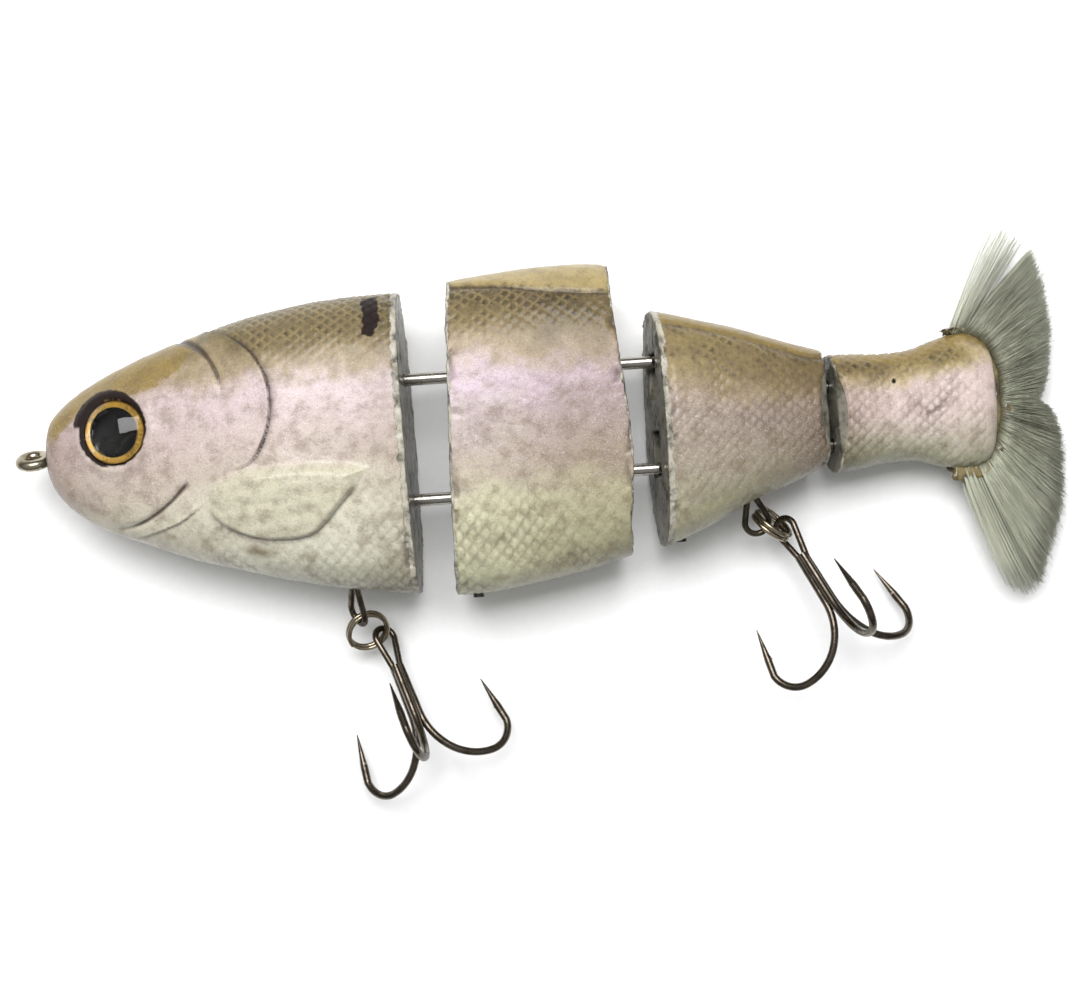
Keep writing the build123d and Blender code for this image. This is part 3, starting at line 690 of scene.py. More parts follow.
class LURE_OT_head(bpy.types.Operator):
    """Sculpts and paints the head: gill cover, mouth, side fins, eye sockets and scales"""
    bl_idname = "lure.head"
    bl_label = "Head section"

    def execute(self, context):
        nodes = ("head_body", "head_ballast_plug")
        skin = Skin("head", nodes, context.scene.lure_skin)
        skin.zones([(0, 9.0), (20, 12.8), (30, 12.4), (38, 13.2), (54, 13.4)],
                   [(0, -9.0), (20, -8.5), (36, -6.0), (54, -6.5)],
                   [(0, 0.75), (8, 0.25), (20, 0.2), (36, 0.0), (46, 0.05), (52, 0.3), (55, 0.4)])
        gill, along_gill = near_line(skin.places, GILL_EDGE)
        behind_gill = smooth(gill, -0.2, 0.8) * smooth(skin.u, 24.0, 27.0)
        under_jaw = smooth(skin.v, -8.5, -11.0) * smooth(skin.u, 12.0, 20.0)
        fin_edge, _ = near_line(skin.places, SIDE_FIN, closed=True)
        in_fin = -fin_edge
        skin.scales(np.maximum(behind_gill, under_jaw) * smooth(in_fin, 0.2, -0.6), flank=0.1)
        self.gills(skin, gill, along_gill)
        self.mouth(skin)
        self.fins(skin, in_fin)
        self.eyes(skin)
        self.rods(skin)
        skin.edges(0.5, rear=0.95)
        skin.lumps()
        skin.marks["ochre_mm"] = skin.v - np.interp(skin.u, *zip(*FOREHEAD_EDGE))
        blotch = np.minimum(*(half - np.abs(place - centre) for half, place, centre
                              in zip(BLOTCH_HALF, (skin.u, skin.v), BLOTCH_AT)))
        blotch = blotch + 0.45 * grain(skin.points, 0.8, 42) + 0.4 * grain(skin.points, 1.7, 44)
        blotch = np.where(skin.w > 0, blotch, -FAR_MM)
        skin.marks["black_paint_and_shade_mm"] = np.maximum(skin.marks["black_paint_and_shade_mm"], blotch)
        along, up = skin.u - BRUISE_AT[0], skin.v - BRUISE_AT[1]
        bruise = bell(np.hypot(along / 2.6, up + 0.2 * along), 0.75) * (skin.w > 0)
        skin.marks["darkening"] = np.maximum(skin.marks["darkening"], bruise)
        skin.finish(nodes, skin_material("head_paint", FRONT_ZONES, OCHRE))
        return {"FINISHED"}

    def gills(self, skin, gill, along):
        """The gill cover's raised rear edge, and the shorter crease before it."""
        strength = fading(along, 0.12, 0.2)
        plate = 0.55 * np.exp(np.minimum(gill, 0) / 3.4)
        groove = -0.3 * np.exp(-np.maximum(gill, 0) / 0.7)
        skin.height += strength * np.where(gill < 0, plate, groove)
        thin = 0.12 + 0.1 * grain(skin.points, 1.4, 43)
        # Painted shade: a dark line in the groove behind the gill cover's raised edge.
        skin.dark_line(np.maximum(gill - 0.1, -gill * 1.4) + thin, strength)
        crease, share = near_line(skin.places, GILL_CREASE)
        faint = fading(share, 0.06, 0.32)
        fold = 0.16 * np.exp(-np.abs(crease) / 1.6) * (crease < 0)
        skin.height += faint * (fold - 0.34 * bell(crease, 0.42))
        # Painted shade: a dark line in the crease.
        skin.dark_line(np.maximum(np.abs(crease) - 0.32 * smooth(share, 0.55, 0.2), 0), faint)

    def mouth(self, skin):
        """The mouth line, and the jaw line below it."""
        mouth, share = near_line(skin.places, MOUTH)
        strength = fading(share, 0.08, 0.4)
        lip = 0.2 * np.exp(np.minimum(mouth, 0) / 1.3) * (mouth < 0)
        skin.height += strength * (lip - 0.42 * bell(mouth, 0.45))
        skin.dark_line(np.abs(mouth) + 0.1, strength)
        jaw, share = near_line(skin.places, JAW)
        strength = fading(share, 0.2, 0.3)
        above = 0.38 * np.exp(np.minimum(jaw, 0) / 0.9) * (jaw < 0)
        skin.height += strength * (above - 0.14 * np.exp(-np.maximum(jaw, 0) / 0.5) * (jaw >= 0))
        # Painted shadow along the jaw line, below the raised band over it.
        skin.dark_line(np.abs(jaw) + 0.25, strength)

    def fins(self, skin, inside):
        """The side fins, with a gentle upper edge, a steep lower one and faint rays."""
        middle = FIN_MIDDLE[1] + FIN_SLOPE * (skin.u - FIN_MIDDLE[0])
        width = np.where(skin.v > middle, 2.3, 0.75)
        width = 0.75 + (width - 0.75) * smooth(np.abs(skin.v - middle), 0.0, 1.5)
        rise = skin.settings.fin_rise / MM * smooth(skin.u, 21.5, 28.0)
        rays = 0.05 * np.sin(2.4 * (skin.v - 0.12 * skin.u)) * smooth(inside, 1.0, 2.5)
        skin.height = np.where(inside > 0, skin.height * smooth(inside, 1.0, 0.0), skin.height)
        skin.height += rise * smooth(inside, 0, width) + rays
        low_side = smooth(skin.v, middle + 1.0, middle - 1.0)
        skin.height -= 0.16 * low_side * np.exp(-np.maximum(-inside, 0) / 0.5) * (inside <= 0)
        # Painted shadow along the fin's steep lower edge, faint along its upper edge.
        skin.dark_line(np.abs(inside - 0.05) + 0.22 + 0.9 * (1 - low_side), smooth(skin.u, 24.0, 28.0))
        skin.marks["fin_mm"] = inside

    def eyes(self, skin):
        """The sockets' raised rims, with black paint above the eyes and painted shade round and before
        them, in the sockets' gaps.
        """
        from_eye = np.hypot(*(skin.places - EYE_AT).T)
        skin.height *= smooth(from_eye, 4.8, 6.4)
        skin.height += 0.3 * bell(from_eye - 5.7, 0.7)
        u, v = skin.u - EYE_AT[0], skin.v - EYE_AT[1]
        brow = np.minimum(BROW_OUTER - np.hypot(u + 0.7, v - 0.45),
                          np.hypot(u + 0.2, v - 0.2) - BROW_INNER)
        brow = np.minimum(brow, 0.55 * (v - 0.35 + 0.16 * u) + 0.1)
        # Painted shade: black down the socket's walls and in the gap before the eye.
        rim = SOCKET_RADIUS + 0.05 - from_eye
        front_gap = np.minimum(FRONT_OUTER - np.hypot(u + 0.15, v), 0.5 * (-1.2 - u))
        skin.marks["black_paint_and_shade_mm"] = np.maximum(np.maximum(brow, rim), front_gap)

    def rods(self, skin):
        """A collar of glue creeps up each rod where it leaves the cut face."""
        for height in ROD_HEIGHTS:
            away = np.hypot(skin.v - height, skin.w)
            collar = bell(np.maximum(away - ROD_RADIUS, 0), 0.55)
            collar = collar * (0.8 + 0.3 * grain(skin.points, 0.8, 41))
            skin.height += collar * 0.8 * smooth(skin.rear_gap, 0.7, 0.2)


# ---- the other sections ---------------------------------------------------------------------------
MID_RIDGE = [(60.0, 22.9), (66.0, 22.6), (70.0, 22.2), (75.0, 21.3), (80.0, 20.6), (87.0, 20.0)]
REAR_LIP = 1.1                        # how far the middle of the flank's rear edge stands out
SCRATCH = [(131.2, -0.9), (132.6, -0.3), (134.8, 0.5)]
DOT_AT = (126.7, 4.6)
DOT_RADIUS = 0.32
# dirt on the tail: its middle, how many times longer than tall it is, and its half height
STAINS = [((134.8, 8.0), 2.6, 1.5), ((122.5, 7.6), 4.0, 1.1)]


class LURE_OT_mid(bpy.types.Operator):
    """Sculpts and paints the second section, with its low dorsal ridge"""
    bl_idname = "lure.mid"
    bl_label = "Second section"

    def execute(self, context):
        nodes = ("mid_body", "mid_ballast_plug")
        skin = Skin("mid", nodes, context.scene.lure_skin)
        skin.zones([(60, 14.4), (74, 13.0), (86, 12.4)], [(60, -8.5), (74, -8.0), (86, -6.5)],
                   [(60, 0.0), (68, 0.1), (76, 0.42), (87, 0.6)])
        ridge, _ = near_line(skin.places, MID_RIDGE)
        skin.scales(smooth(ridge, 0.3, -0.5) * smooth(skin.u, 87.0, 82.0), flank=0.22)
        skin.height += 0.22 * np.exp(-np.maximum(ridge, 0) / 1.4) * (ridge > 0) - 0.3 * bell(ridge, 0.45)
        # Painted shadow: a faint dark line under the dorsal ridge.
        skin.dark_line(np.abs(ridge + 0.15) + 0.42 + 0.16 * grain(skin.points, 1.2, 71))
        # Painted shade under the ridge: a band of darker back colour just below it, fading towards the
        # rear.
        skin.marks["zone"] = skin.zone + 0.9 * bell(ridge + 1.5, 2.0) * smooth(skin.u, 84.0, 78.0)
        lip = bell(skin.v + 3.0, 14.0) * smooth(skin.rear_gap, 7.0, 0.0) * smooth(np.abs(skin.w), 6.5, 9.5)
        skin.points[:, 0] += REAR_LIP * lip
        skin.edges(0.3, front=0.42, rear=0.25)
        skin.lumps()
        skin.marks["ochre_mm"] = ridge - 0.2
        skin.finish(nodes, skin_material("mid_paint", MID_ZONES, RIDGE_GOLD))
        return {"FINISHED"}


class LURE_OT_rear(bpy.types.Operator):
    """Sculpts and paints the third section, with its bare slotted front face"""
    bl_idname = "lure.rear"
    bl_label = "Third section"

    def execute(self, context):
        nodes = ("rear_body", "rear_ballast_plug")
        skin = Skin("rear", nodes, context.scene.lure_skin)
        skin.zones([(91, 8.0), (100, 5.0), (117, 3.6)], [(91, -8.5), (104, -7.6), (117, -6.6)],
                   [(91, 0.0), (104, 0.2), (112, 0.5), (117, 0.9)])
        from_back = skin.back - skin.v
        skin.scales(smooth(from_back, 1.4, 2.2), flank=1.1)
        skin.height += 0.2 * smooth(from_back, 2.0, 1.2) - 0.12 * bell(from_back - 1.9, 0.35)
        skin.edges(0.4, front=0.9, rear=0.2)
        skin.lumps()
        skin.marks["ochre_mm"] = 1.5 - from_back
        skin.finish(nodes, skin_material("rear_paint", REAR_ZONES, OCHRE))
        return {"FINISHED"}


class LURE_OT_tail(bpy.types.Operator):
    """Sculpts and paints the waisted tail section"""
    bl_idname = "lure.tail"
    bl_label = "Tail section"

    def execute(self, context):
        nodes = ("tail_body",)
        skin = Skin("tail", nodes, context.scene.lure_skin)
        skin.zones([(117, 4.6), (128, 4.2), (136, 7.2), (141, 9.0)],
                   [(117, -3.0), (132, -4.0), (141, -5.0)],
                   [(117, 0.7), (122, 0.35), (127, 0.0), (140, 0.0), (146, 0.3)])
        skin.scales(smooth(skin.u, 143.5, 139.5), flank=1.4)
        scratch, share = near_line(skin.places, SCRATCH)
        left = (skin.w > 0) * fading(share, 0.1, 0.1)
        skin.height -= 0.18 * bell(scratch, 0.25) * left
        skin.edges(0.3, front=0.3)
        skin.lumps()
        from_back = skin.back - skin.v
        skin.marks["ochre_mm"] = 1.5 - from_back
        dot = DOT_RADIUS - np.hypot(skin.u - DOT_AT[0], skin.v - DOT_AT[1])
        skin.marks["black_paint_and_shade_mm"] = np.where(skin.w > 0, dot, -FAR_MM)
        stains = [bell(np.hypot((skin.u - u) / stretch, skin.v - v), width)
                  for (u, v), stretch, width in STAINS]
        dirt = np.maximum(*stains) * (skin.w > 0)
        skin.marks["weave"][:, 2] = np.maximum(skin.marks["weave"][:, 2], dirt)
        skin.marks["zone"] = skin.zone + 1.6 * dirt
        skin.dark_line(np.where(skin.w > 0, np.abs(scratch) + 0.34, FAR_MM), fading(share, 0.1, 0.1))
        skin.finish(nodes, skin_material("tail_paint", TAIL_ZONES, OCHRE))
        return {"FINISHED"}


# ---- eyes -----------------------------------------------------------------------------------------
class LureEyeSettings(bpy.types.PropertyGroup):
    """Colours of the glass eyes."""
    gold: FloatVectorProperty(name="Iris", description="Colour of the iris at its middle", size=4,
                              subtype="COLOR", default=rgb(236, 190, 84))
    amber: FloatVectorProperty(name="Iris edge", description="Colour of the iris at its rim", size=4,
                               subtype="COLOR", default=rgb(150, 106, 36))
    black: FloatVectorProperty(name="Pupil", description="Colour of the pupil", size=4,
                               subtype="COLOR", default=rgb(8, 8, 8))


PUPIL_DUST = rgb(30, 30, 28)
IRIS_SHADOW = rgb(92, 66, 26)         # the iris's inner edge
LENS_TINT = (0.98, 0.98, 0.96, 1.0)
RESIN_IOR = 1.46


def iris_material(settings):
    """Gold foil with fine rays and a darker rim."""
    material, tree, shader = new_material("iris_gold_foil")
    low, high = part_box("left_eye_iris")
    centre = (low + high) / 2
    place = put(tree, "TexCoord").outputs["Object"]
    flat = put(tree, "Mapping", {0: place, 1: (-centre.x, -centre.y, 0.0), 3: (1.0, 1.0, 0.0)}).outputs[0]
    radius = put(tree, "VectorMath", {0: flat}, operation="LENGTH").outputs["Value"]
    outer = (high.y - low.y) / 2
    tone = ramp(tree, calc(tree, "DIVIDE", radius, outer), [
        (0.74, IRIS_SHADOW), (0.79, settings.gold), (0.93, settings.gold), (1.0, settings.amber)])
    ray = put(tree, "VectorMath", {0: flat}, operation="NORMALIZE").outputs[0]
    rays = noise(tree, ray, 16.0, 4.0, 0.7)
    foil = noise(tree, place, 2400.0, 3.0)
    colour = mixed(tree, between(tree, rays, 0.45, 0.7, 0.0, 0.45), tone, settings.amber)
    feed(tree, shader["Base Color"], colour)
    shader["Metallic"].default_value = 0.3
    feed(tree, shader["Roughness"], calc(tree, "MULTIPLY_ADD", foil, 0.3, 0.2))
    feed(tree, shader["Normal"], bump(tree, calc(tree, "ADD", rays, foil), DEPTHS["foil"], 0.6))
    return material


def pupil_material(settings):
    """Gloss black with a little dust."""
    material, tree, shader = new_material("pupil_gloss_black")
    place = put(tree, "TexCoord").outputs["Object"]
    haze = noise(tree, place, 700.0, 4.0, 0.6)
    dusty = between(tree, haze, 0.4, 0.8, 0.0, 0.4)
    feed(tree, shader["Base Color"], mixed(tree, dusty, settings.black, PUPIL_DUST))
    feed(tree, shader["Roughness"], calc(tree, "MULTIPLY_ADD", haze, 0.2, 0.1))
    feed(tree, shader["Normal"], bump(tree, haze, DEPTHS["pupil"], 0.3))
    shader["Specular IOR Level"].default_value = 0.1
    return material


def lens_material():
    """A clear dome, faintly uneven and smeared."""
    material, tree, shader = new_material("lens_clear_resin")
    place = put(tree, "TexCoord").outputs["Object"]
    wave = noise(tree, place, 320.0, 3.0)
    shader["Base Color"].default_value = LENS_TINT
    shader["Transmission Weight"].default_value = 1.0
    shader["IOR"].default_value = RESIN_IOR
    smears = noise(tree, place, 1500.0, 4.0, 0.7)
    feed(tree, shader["Roughness"], between(tree, smears, 0.55, 0.8, 0.015, 0.12))
    feed(tree, shader["Normal"], bump(tree, wave, DEPTHS["lens"], 0.25))
    return material


class LURE_OT_eyes(bpy.types.Operator):
    """Gives the irises, pupils and clear domes their finishes"""
    bl_idname = "lure.eyes"
    bl_label = "Eyes"

    def execute(self, context):
        settings = context.scene.lure_eyes
        finishes = {"iris": iris_material(settings), "pupil": pupil_material(settings),
                    "lens": lens_material()}
        for side in ("left", "right"):
            for part, material in finishes.items():
                give_material(frame["nodes"][f"{side}_eye_{part}"], material)
        return {"FINISHED"}


# ---- metal ----------------------------------------------------------------------------------------
class LureMetalSettings(bpy.types.PropertyGroup):
    """Colours of the wire parts."""
    steel: FloatVectorProperty(name="Rod steel", description="Screw eyes and pins", size=4,
                               subtype="COLOR", default=rgb(172, 168, 160))
    nickel: FloatVectorProperty(name="Black nickel", description="Treble hooks and hangers", size=4,
                                subtype="COLOR", default=rgb(104, 96, 86))
    ring: FloatVectorProperty(name="Ring wire", description="Split rings", size=4,
                              subtype="COLOR", default=rgb(164, 152, 132))
    tie: FloatVectorProperty(name="Line tie", description="Nose loop", size=4,
                             subtype="COLOR", default=rgb(176, 168, 148))
    wear: FloatProperty(name="Wear", description="How much of the plating is dull", default=0.7,
                        min=0.0, max=1.0, subtype="FACTOR")


def metal_material(name, bright, dull, wear, scale=420.0):
    """Wire that is bright where it is rubbed and dull elsewhere; scale sets how fine its patches are."""
    material, tree, shader = new_material(name)
    place = put(tree, "TexCoord").outputs["Object"]
    worn = use(tree, "rubbed_metal", {"Place": place, "Bright": bright, "Dull": dull, "Scale": scale,
                                      "Wear": wear})
    feed(tree, shader["Base Color"], worn["Colour"])
    feed(tree, shader["Roughness"], worn["Roughness"])
    feed(tree, shader["Normal"], bump(tree, worn["Height"], DEPTHS["wire"], 0.5))
    shader["Metallic"].default_value = 1.0
    return material


class LURE_OT_metal(bpy.types.Operator):
    """Gives the hooks, rings, hangers, hinge rods, line tie and ballast their metal"""
    bl_idname = "lure.metal"
    bl_label = "Metal parts"

    def execute(self, context):
        colours = context.scene.lure_metal
        hinge_eyes = [f"hinge_{n}_{end}_screw_eye" for n in (1, 2, 3) for end in ("upper", "lower")]
        pins = [f"hinge_{n}_pin" for n in (1, 2, 3)]
        ballast = [f"{section}_ballast" for section in ("head", "mid", "rear")]
        finishes = [
            (hinge_eyes,
             metal_material("rod_steel", colours.steel, rgb(140, 134, 120), colours.wear * 0.7)),
            (pins, metal_material("pin_steel", rgb(96, 92, 84), rgb(34, 30, 24), colours.wear)),
            (["front_treble_hook", "rear_treble_hook"],
             metal_material("hook_black_nickel", colours.nickel, rgb(58, 52, 42), colours.wear)),
            (["front_hook_hanger", "rear_hook_hanger"],
             metal_material("hanger_black_nickel", rgb(92, 86, 72), rgb(44, 38, 30), colours.wear)),
            (["front_split_ring", "rear_split_ring"],
             metal_material("ring_nickel", colours.ring, rgb(104, 92, 70), colours.wear * 0.8)),
            (["line_tie"], metal_material("tie_steel", colours.tie, rgb(112, 102, 80), colours.wear)),
            (ballast, metal_material("ballast_lead", rgb(110, 112, 116), rgb(76, 76, 78), 1.0, 260.0)),
        ]
        for nodes, material in finishes:
            for node in nodes:
                give_material(frame["nodes"][node], material)
        return {"FINISHED"}


# ---- brush tail -----------------------------------------------------------------------------------
class LureBrushSettings(bpy.types.PropertyGroup):
    """The two lobes of nylon bristles."""
    count: IntProperty(name="Bristles", description="Bristles in each lobe", default=7200, min=100)
    radius: FloatProperty(name="Radius", description="Radius of a bristle at its root",
                          default=0.048 * MM, subtype="DISTANCE")
    light: FloatVectorProperty(name="Light bristles", description="Palest bristle", size=4,
                               subtype="COLOR", default=rgb(176, 178, 158))
    dark: FloatVectorProperty(name="Dark bristles", description="Darkest bristle", size=4,
                              subtype="COLOR", default=rgb(78, 78, 60))


# each tuft from its outer edge to the notch: where the bristles are rooted and where they end, its share
# of the bristles, how much it thins and how pale it is towards its outer edge, and how far they bow
TUFTS = {
    "upper": [
        ([(137.2, 10.4), (138.4, 11.0), (139.8, 11.2)],
         [(145.2, 27.2), (147.2, 27.2), (148.8, 26.4), (150.2, 24.8)], 0.015, 0.5, 0.9, 0.03),
        ([(139.2, 11.2), (142.0, 10.2), (143.6, 8.0), (144.5, 5.0), (144.6, 0.3)],
         [(151.2, 23.4), (152.0, 20.4), (152.7, 17.4), (153.3, 12.0), (153.0, 7.2), (152.2, 3.2),
          (151.0, 0.5)], 0.98, 0.1, 0.15, 0.02)],
    "lower": [
        ([(137.6, -8.0), (139.6, -8.4), (141.0, -8.0)], [(144.4, -27.4), (147.0, -28.6), (149.6, -26.8)],
         0.028, 0.6, 0.85, -0.06),
        ([(140.2, -8.2), (142.4, -6.4), (143.9, -3.9), (144.5, -1.2), (144.6, 0.9)],
         [(149.2, -27.0), (151.4, -21.6), (153.4, -15.6), (154.0, -10.0), (154.0, -4.4), (152.8, -1.0),
          (151.0, 0.6)], 0.95, 0.45, 0.5, -0.02)],
}
OVERSPRAY = rgb(92, 84, 56)
PALE_TIP = rgb(206, 208, 190)
PALE_TUFT = rgb(214, 216, 196)
BRISTLE_SEED = 51
BRISTLE_STEPS = 4
BRISTLE_SIDES = 3
BRISTLE_TAPER = 0.45                  # how much thinner a tip is than its root
ROOT_HALF = 1.5                       # half the brush's thickness at the roots and at the tips
TIP_HALF = 1.2


def along_line(corners, shares):
    """Points on a smooth line at shares of its length."""
    line = rounded(corners, 6)
    walked = np.concatenate([[0], np.cumsum(np.hypot(*np.diff(line, axis=0).T))])
    walked /= walked[-1]
    return np.column_stack([np.interp(shares, walked, line[:, k]) for k in (0, 1)])


def bristle_shares(count, rng, thinning):
    """Where a tuft's bristles stand, clumped, and thinner towards its outer edge."""
    shares = rng.uniform(0, 1, count * 4)
    clump = 0.5 + 0.5 * np.sin(shares * 61 + 2.2 * np.sin(shares * 17))
    density = (0.6 + 0.4 * clump) * (1 - thinning * smooth(shares, 0.75, 0.0))
    kept = shares[rng.uniform(0, 1, len(shares)) < density]
    return kept[:count]


def bristle_mesh(name, roots, tips, bows, radii, tones, outer):
    """One mesh of bent three-sided strands that taper to their tips."""
    steps = np.linspace(0, 1, BRISTLE_STEPS + 1)[None, :, None]
    middles = (roots + tips) / 2 + bows
    line = ((1 - steps) ** 2 * roots[:, None] + 2 * steps * (1 - steps) * middles[:, None]
            + steps**2 * tips[:, None])
    along = tips - roots
    along /= np.linalg.norm(along, axis=1)[:, None]
    side = np.cross(along, (0, 0, 1))
    side /= np.linalg.norm(side, axis=1)[:, None]
    up = np.cross(side, along)
    points = []
    for corner in range(BRISTLE_SIDES):
        turn = 2 * math.pi * corner / BRISTLE_SIDES
        out = side * math.cos(turn) + up * math.sin(turn)
        points.append(line + out[:, None] * radii[:, None, None] * (1 - BRISTLE_TAPER * steps))
    points = np.stack(points, axis=2).reshape(-1, 3)
    each = (BRISTLE_STEPS + 1) * BRISTLE_SIDES
    pattern = []
    for ring in range(BRISTLE_STEPS):
        for corner in range(BRISTLE_SIDES):
            low, following = ring * BRISTLE_SIDES, (corner + 1) % BRISTLE_SIDES
            pattern.append((low + corner, low + following, low + BRISTLE_SIDES + following,
                            low + BRISTLE_SIDES + corner))
    last = BRISTLE_STEPS * BRISTLE_SIDES
    starts = np.arange(len(roots)) * each
    faces = (starts[:, None, None] + np.array(pattern)[None]).reshape(-1, 4).tolist()
    faces += (starts[:, None] + np.array([[2, 1, 0]])).tolist()
    faces += (starts[:, None] + np.array([[last, last + 1, last + 2]])).tolist()
    mesh = bpy.data.meshes.new(name)
    mesh.from_pydata(lay_down(points, "tail").tolist(), [], faces)
    mesh.shade_smooth()
    piece = bpy.data.objects.new(name, mesh)
    bpy.context.scene.collection.objects.link(piece)
    set_mark(piece, "strand", np.repeat(tones, each))
    set_mark(piece, "outer", np.repeat(outer, each))
    set_mark(piece, "strand_share", np.tile(np.repeat(steps.ravel(), BRISTLE_SIDES), len(roots)))
    return piece


def bristle_material(settings):
    """Grey-green nylon, each strand its own tone, ochre overspray at the roots and paler tips."""
    material, tree, shader = new_material("bristle_nylon")
    tone = mark(tree, "strand")
    share = mark(tree, "strand_share")
    place = put(tree, "TexCoord").outputs["Object"]
    streak = noise(tree, place, 380.0, 3.0)
    value = calc(tree, "MULTIPLY_ADD", calc(tree, "SUBTRACT", streak, 0.5), 0.5, tone)
    colour = mixed(tree, between(tree, value, 0.0, 1.0), settings.dark, settings.light)
    colour = mixed(tree, between(tree, share, 0.6, 1.0, 0.0, 0.4), colour, PALE_TIP)
    colour = mixed(tree, mark(tree, "outer"), colour, PALE_TUFT)
    colour = mixed(tree, between(tree, share, 0.14, 0.0, 0.0, 0.75), colour, OVERSPRAY)
    feed(tree, shader["Base Color"], colour)
    feed(tree, shader["Roughness"], between(tree, streak, 0.2, 0.8, 0.3, 0.5))
    feed(tree, shader["Normal"], bump(tree, streak, DEPTHS["bristle"], 0.3))
    shader["Specular IOR Level"].default_value = 0.4
    return material


class LURE_OT_brush(bpy.types.Operator):
    """Sets the two lobes of bristles round the tail's end"""
    bl_idname = "lure.brush"
    bl_label = "Brush tail"

    def execute(self, context):
        settings = context.scene.lure_brush
        material = bristle_material(settings)
        rng = np.random.default_rng(BRISTLE_SEED)
        for label, tufts in TUFTS.items():
            strands = [self.tuft(rng, settings, *tuft) for tuft in tufts]
            columns = [np.concatenate(column) for column in zip(*strands)]
            piece = bristle_mesh(f"{label}_bristles", *columns)
            give_material(piece, material)
            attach(piece, "tail_section")
            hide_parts(f"brush_{label}_lobe")
        return {"FINISHED"}

    def tuft(self, rng, settings, root_line, tip_line, portion, thinning, paleness, bow):
        """Roots, tips, bows, radii and tones of a tuft's bristles, and how pale its thin outer part is."""
        shares = bristle_shares(int(settings.count * portion), rng, thinning)
        count = len(shares)
        roots = along_line(root_line, np.clip(shares + rng.normal(0, 0.03, count), 0, 1))
        tips = along_line(tip_line, np.clip(shares + rng.normal(0, 0.012, count), 0, 1))
        length = 1 + rng.normal(0, 0.028, count) - 0.2 * rng.uniform(0, 1, count) ** 5
        tips = roots + (tips - roots) * length[:, None]
        layer = rng.uniform(-1, 1, count)
        roots = np.column_stack([roots, layer * ROOT_HALF])
        tips = np.column_stack([tips, layer * TIP_HALF + rng.normal(0, 0.25, count)])
        run = tips - roots
        sideways = np.column_stack([-run[:, 1], run[:, 0], np.zeros(count)])
        bend = bow * (1 - shares) + rng.normal(0, 0.005, count)
        spread = np.column_stack([np.zeros((count, 2)), rng.normal(0, 0.14, count)])
        bows = sideways * bend[:, None] + spread
        tones = np.clip(0.5 + 0.1 * np.sin(shares * 83) * np.sin(shares * 29 + 1)
                        + rng.normal(0, 0.18, count), 0, 1)
        radii = settings.radius / MM * rng.uniform(0.75, 1.2, count)
        outer = paleness * smooth(shares, 0.8 + 0.6 * (paleness > 0.8), 0.0)
        return roots, tips, bows, radii, tones, outer


GLUE_COLOUR = rgb(124, 110, 70)
GLUE_DIRT = rgb(52, 44, 28)
GLUE_STEP = 0.22 * MM
GLUE_FLATTENED = (1, 1, 0.72)


def glue_material():
    """Set glue with dirt in it, wet looking."""
    material, tree, shader = new_material("brush_glue_clear")
    place = mark(tree, "place_mm", True)
    spotted = use(tree, "flecks", {"Place": place, "Colour": GLUE_COLOUR, "Fleck Colour": GLUE_DIRT,
                                   "Scale": 1.6, "Flecks": 0.7, "Clouds": 0.9})
    feed(tree, shader["Base Color"], spotted["Colour"])
    feed(tree, shader["Roughness"], between(tree, spotted["Height"], 0.2, 0.8, 0.12, 0.4))
    feed(tree, shader["Normal"], bump(tree, spotted["Height"], DEPTHS["glue"], 0.5))
    shader["Coat Weight"].default_value = 0.8
    shader["Coat Roughness"].default_value = 0.08
    return material


class LURE_OT_glue(bpy.types.Operator):
    """Makes the lumpy glue that holds the bristles round the tail's end"""
    bl_idname = "lure.glue"
    bl_label = "Brush glue"

    def execute(self, context):
        piece = copy_of(["brush_glue"], "brush_glue_lumps")
        remesh(piece, GLUE_STEP)
        points = straighten(mesh_points(piece), "tail")
        normals = straighten(mesh_normals(piece), "tail", vectors=True)
        flat = points * GLUE_FLATTENED
        blobs = smooth(grain(points, 1.3, 61), 0.1, 0.7)
        near_belly = smooth(points[:, 1], -6.0, -9.0)
        on_back = smooth(points[:, 1], 5.0, 8.0)
        lumps = (0.25 + 0.7 * near_belly - 0.5 * on_back) * blobs + 0.08 * grain(points, 0.6, 62)
        lumps -= on_back * (0.3 + 0.8 * smooth(points[:, 0], 140.0, 138.0))
        set_points(piece, lay_down(flat + normals * lumps[:, None], "tail"))
        set_mark(piece, "place_mm", points)
        give_material(piece, glue_material())
        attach(piece, "tail_section")
        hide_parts("brush_glue")
        return {"FINISHED"}


# ---- stage ----------------------------------------------------------------------------------------
FLOOR_DROP = 0.3 * MM                 # the floor lies this far below the lure
CAMERA_AT = (-0.929 * MM, 4.477 * MM)
# each light: where it is, its size, its share of the key power and whether polished parts mirror it
LIGHTS = {"wide_light": ((-0.03, 0.24, 0.44), (0.9, 0.36), 0.5, False),
          "soft_box": ((-0.03, 0.2, 0.42), (0.34, 0.26), 0.5, True)}


class LureStageSettings(bpy.types.PropertyGroup):
    """Floor, light and camera."""
    floor_size: FloatProperty(name="Floor", description="Width of the floor", default=4.0,
                              subtype="DISTANCE")
    camera_height: FloatProperty(name="Camera height", description="Height over the lure's resting plane",
                                 default=0.2705, subtype="DISTANCE")
    lens: FloatProperty(name="Lens", description="Focal length in millimetres", default=57.8)
    camera_turn: FloatProperty(name="Camera turn", description="Turn about the upright axis",
                               default=math.radians(-3.9), subtype="ANGLE")
    key_power: FloatProperty(name="Key light", description="Power of the two lights together",
                             default=4.0)
    sky: FloatProperty(name="Fill light", description="Strength of the even light", default=0.34)


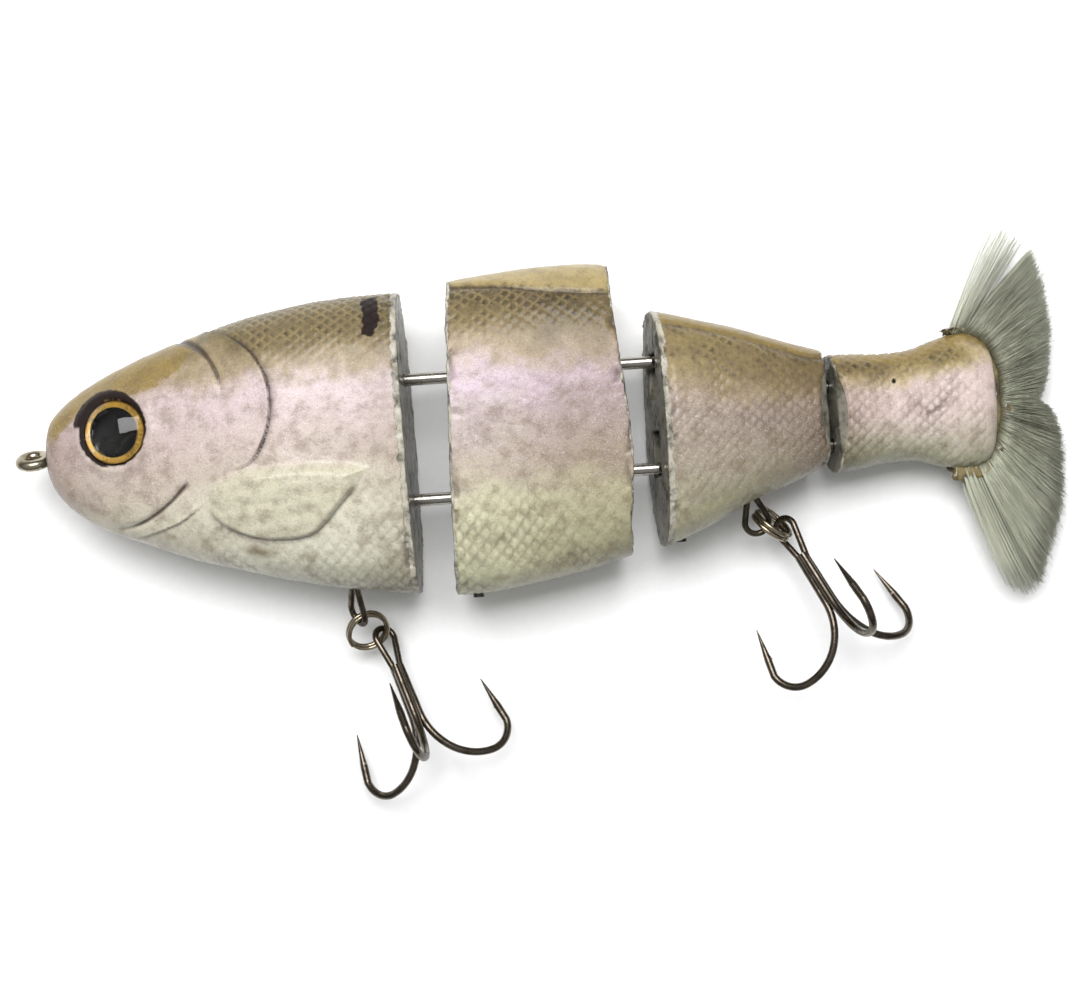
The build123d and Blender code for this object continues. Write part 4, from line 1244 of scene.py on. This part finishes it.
class LURE_OT_stage(bpy.types.Operator):
    """Sets the pale floor, the soft light over the lure's back and the camera above its left flank"""
    bl_idname = "lure.stage"
    bl_label = "Stage"

    def execute(self, context):
        settings = context.scene.lure_stage
        clear_selection()
        bpy.ops.mesh.primitive_plane_add(size=settings.floor_size, location=(0, 0, -FLOOR_DROP))
        floor = context.object
        floor.name = "stage_floor"
        give_material(floor, self.paper())
        bpy.ops.object.camera_add(location=(*CAMERA_AT, settings.camera_height),
                                  rotation=(0, 0, settings.camera_turn))
        camera = context.object
        camera.data.lens = settings.lens
        camera.data.clip_start = 0.01
        context.scene.camera = camera
        for name, (place, size, share, mirrored) in LIGHTS.items():
            self.light(name, place, size, share * settings.key_power).visible_glossy = mirrored
        context.scene.world = self.world(settings.sky)
        context.scene.view_settings.view_transform = "Standard"
        return {"FINISHED"}

    def world(self, strength):
        """An even white light, weaker near the horizon."""
        world = bpy.data.worlds.new("studio")
        world.use_nodes = True
        tree = world.node_tree
        sky = tree.nodes["Background"].inputs
        place = put(tree, "TexCoord").outputs["Generated"]
        up = put(tree, "SeparateXYZ", {0: place}).outputs[2]
        feed(tree, sky["Strength"], between(tree, up, 0.1, 0.75, 0.25 * strength, 1.25 * strength))
        sky["Color"].default_value = WHITE
        return world

    def light(self, name, place, size, power):
        """A rectangular light aimed at the middle of the floor."""
        bpy.ops.object.light_add(type="AREA", location=place)
        lamp = bpy.context.object
        lamp.name = name
        lamp.data.shape = "RECTANGLE"
        lamp.data.size, lamp.data.size_y = size
        lamp.data.energy = power
        aim = (bpy.data.objects["stage_floor"].location - lamp.location).to_track_quat("-Z", "Y")
        lamp.rotation_euler = aim.to_euler()
        return lamp

    def paper(self):
        """Matt white paper with fine fibres."""
        material, tree, shader = new_material("stage_paper")
        place = put(tree, "TexCoord").outputs["Object"]
        fibre = noise(tree, place, 900.0, 4.0)
        feed(tree, shader["Base Color"], mixed(tree, fibre, rgb(238, 239, 239), rgb(246, 246, 246)))
        shader["Roughness"].default_value = 0.9
        return material


# ---- add-on ---------------------------------------------------------------------------------------
STEPS = (LURE_OT_stage, LURE_OT_head, LURE_OT_mid, LURE_OT_rear, LURE_OT_tail, LURE_OT_eyes, LURE_OT_metal,
         LURE_OT_brush, LURE_OT_glue)
SETTINGS = {"lure_skin": LureSkinSettings, "lure_eyes": LureEyeSettings, "lure_metal": LureMetalSettings,
            "lure_brush": LureBrushSettings, "lure_stage": LureStageSettings}


class LURE_PT_panel(bpy.types.Panel):
    """Lists the lure's settings and the steps that make it"""
    bl_idname = "LURE_PT_panel"
    bl_label = "Jointed lure"
    bl_space_type = "VIEW_3D"
    bl_region_type = "UI"
    bl_category = "Lure"

    def draw(self, context):
        for step in STEPS:
            self.layout.operator(step.bl_idname)
        for name, group in SETTINGS.items():
            box = self.layout.box()
            for setting in group.__annotations__:
                box.prop(getattr(context.scene, name), setting)


def register():
    for group in (*SETTINGS.values(), *STEPS, LURE_PT_panel):
        bpy.utils.register_class(group)
    for name, group in SETTINGS.items():
        setattr(bpy.types.Scene, name, PointerProperty(type=group))


def unregister():
    for name in SETTINGS:
        delattr(bpy.types.Scene, name)
    for group in reversed((*SETTINGS.values(), *STEPS, LURE_PT_panel)):
        bpy.utils.unregister_class(group)


def main():
    register()
    for step in STEPS:
        family, name = step.bl_idname.split(".")
        getattr(getattr(bpy.ops, family), name)()


if __name__ == "__main__":
    main()
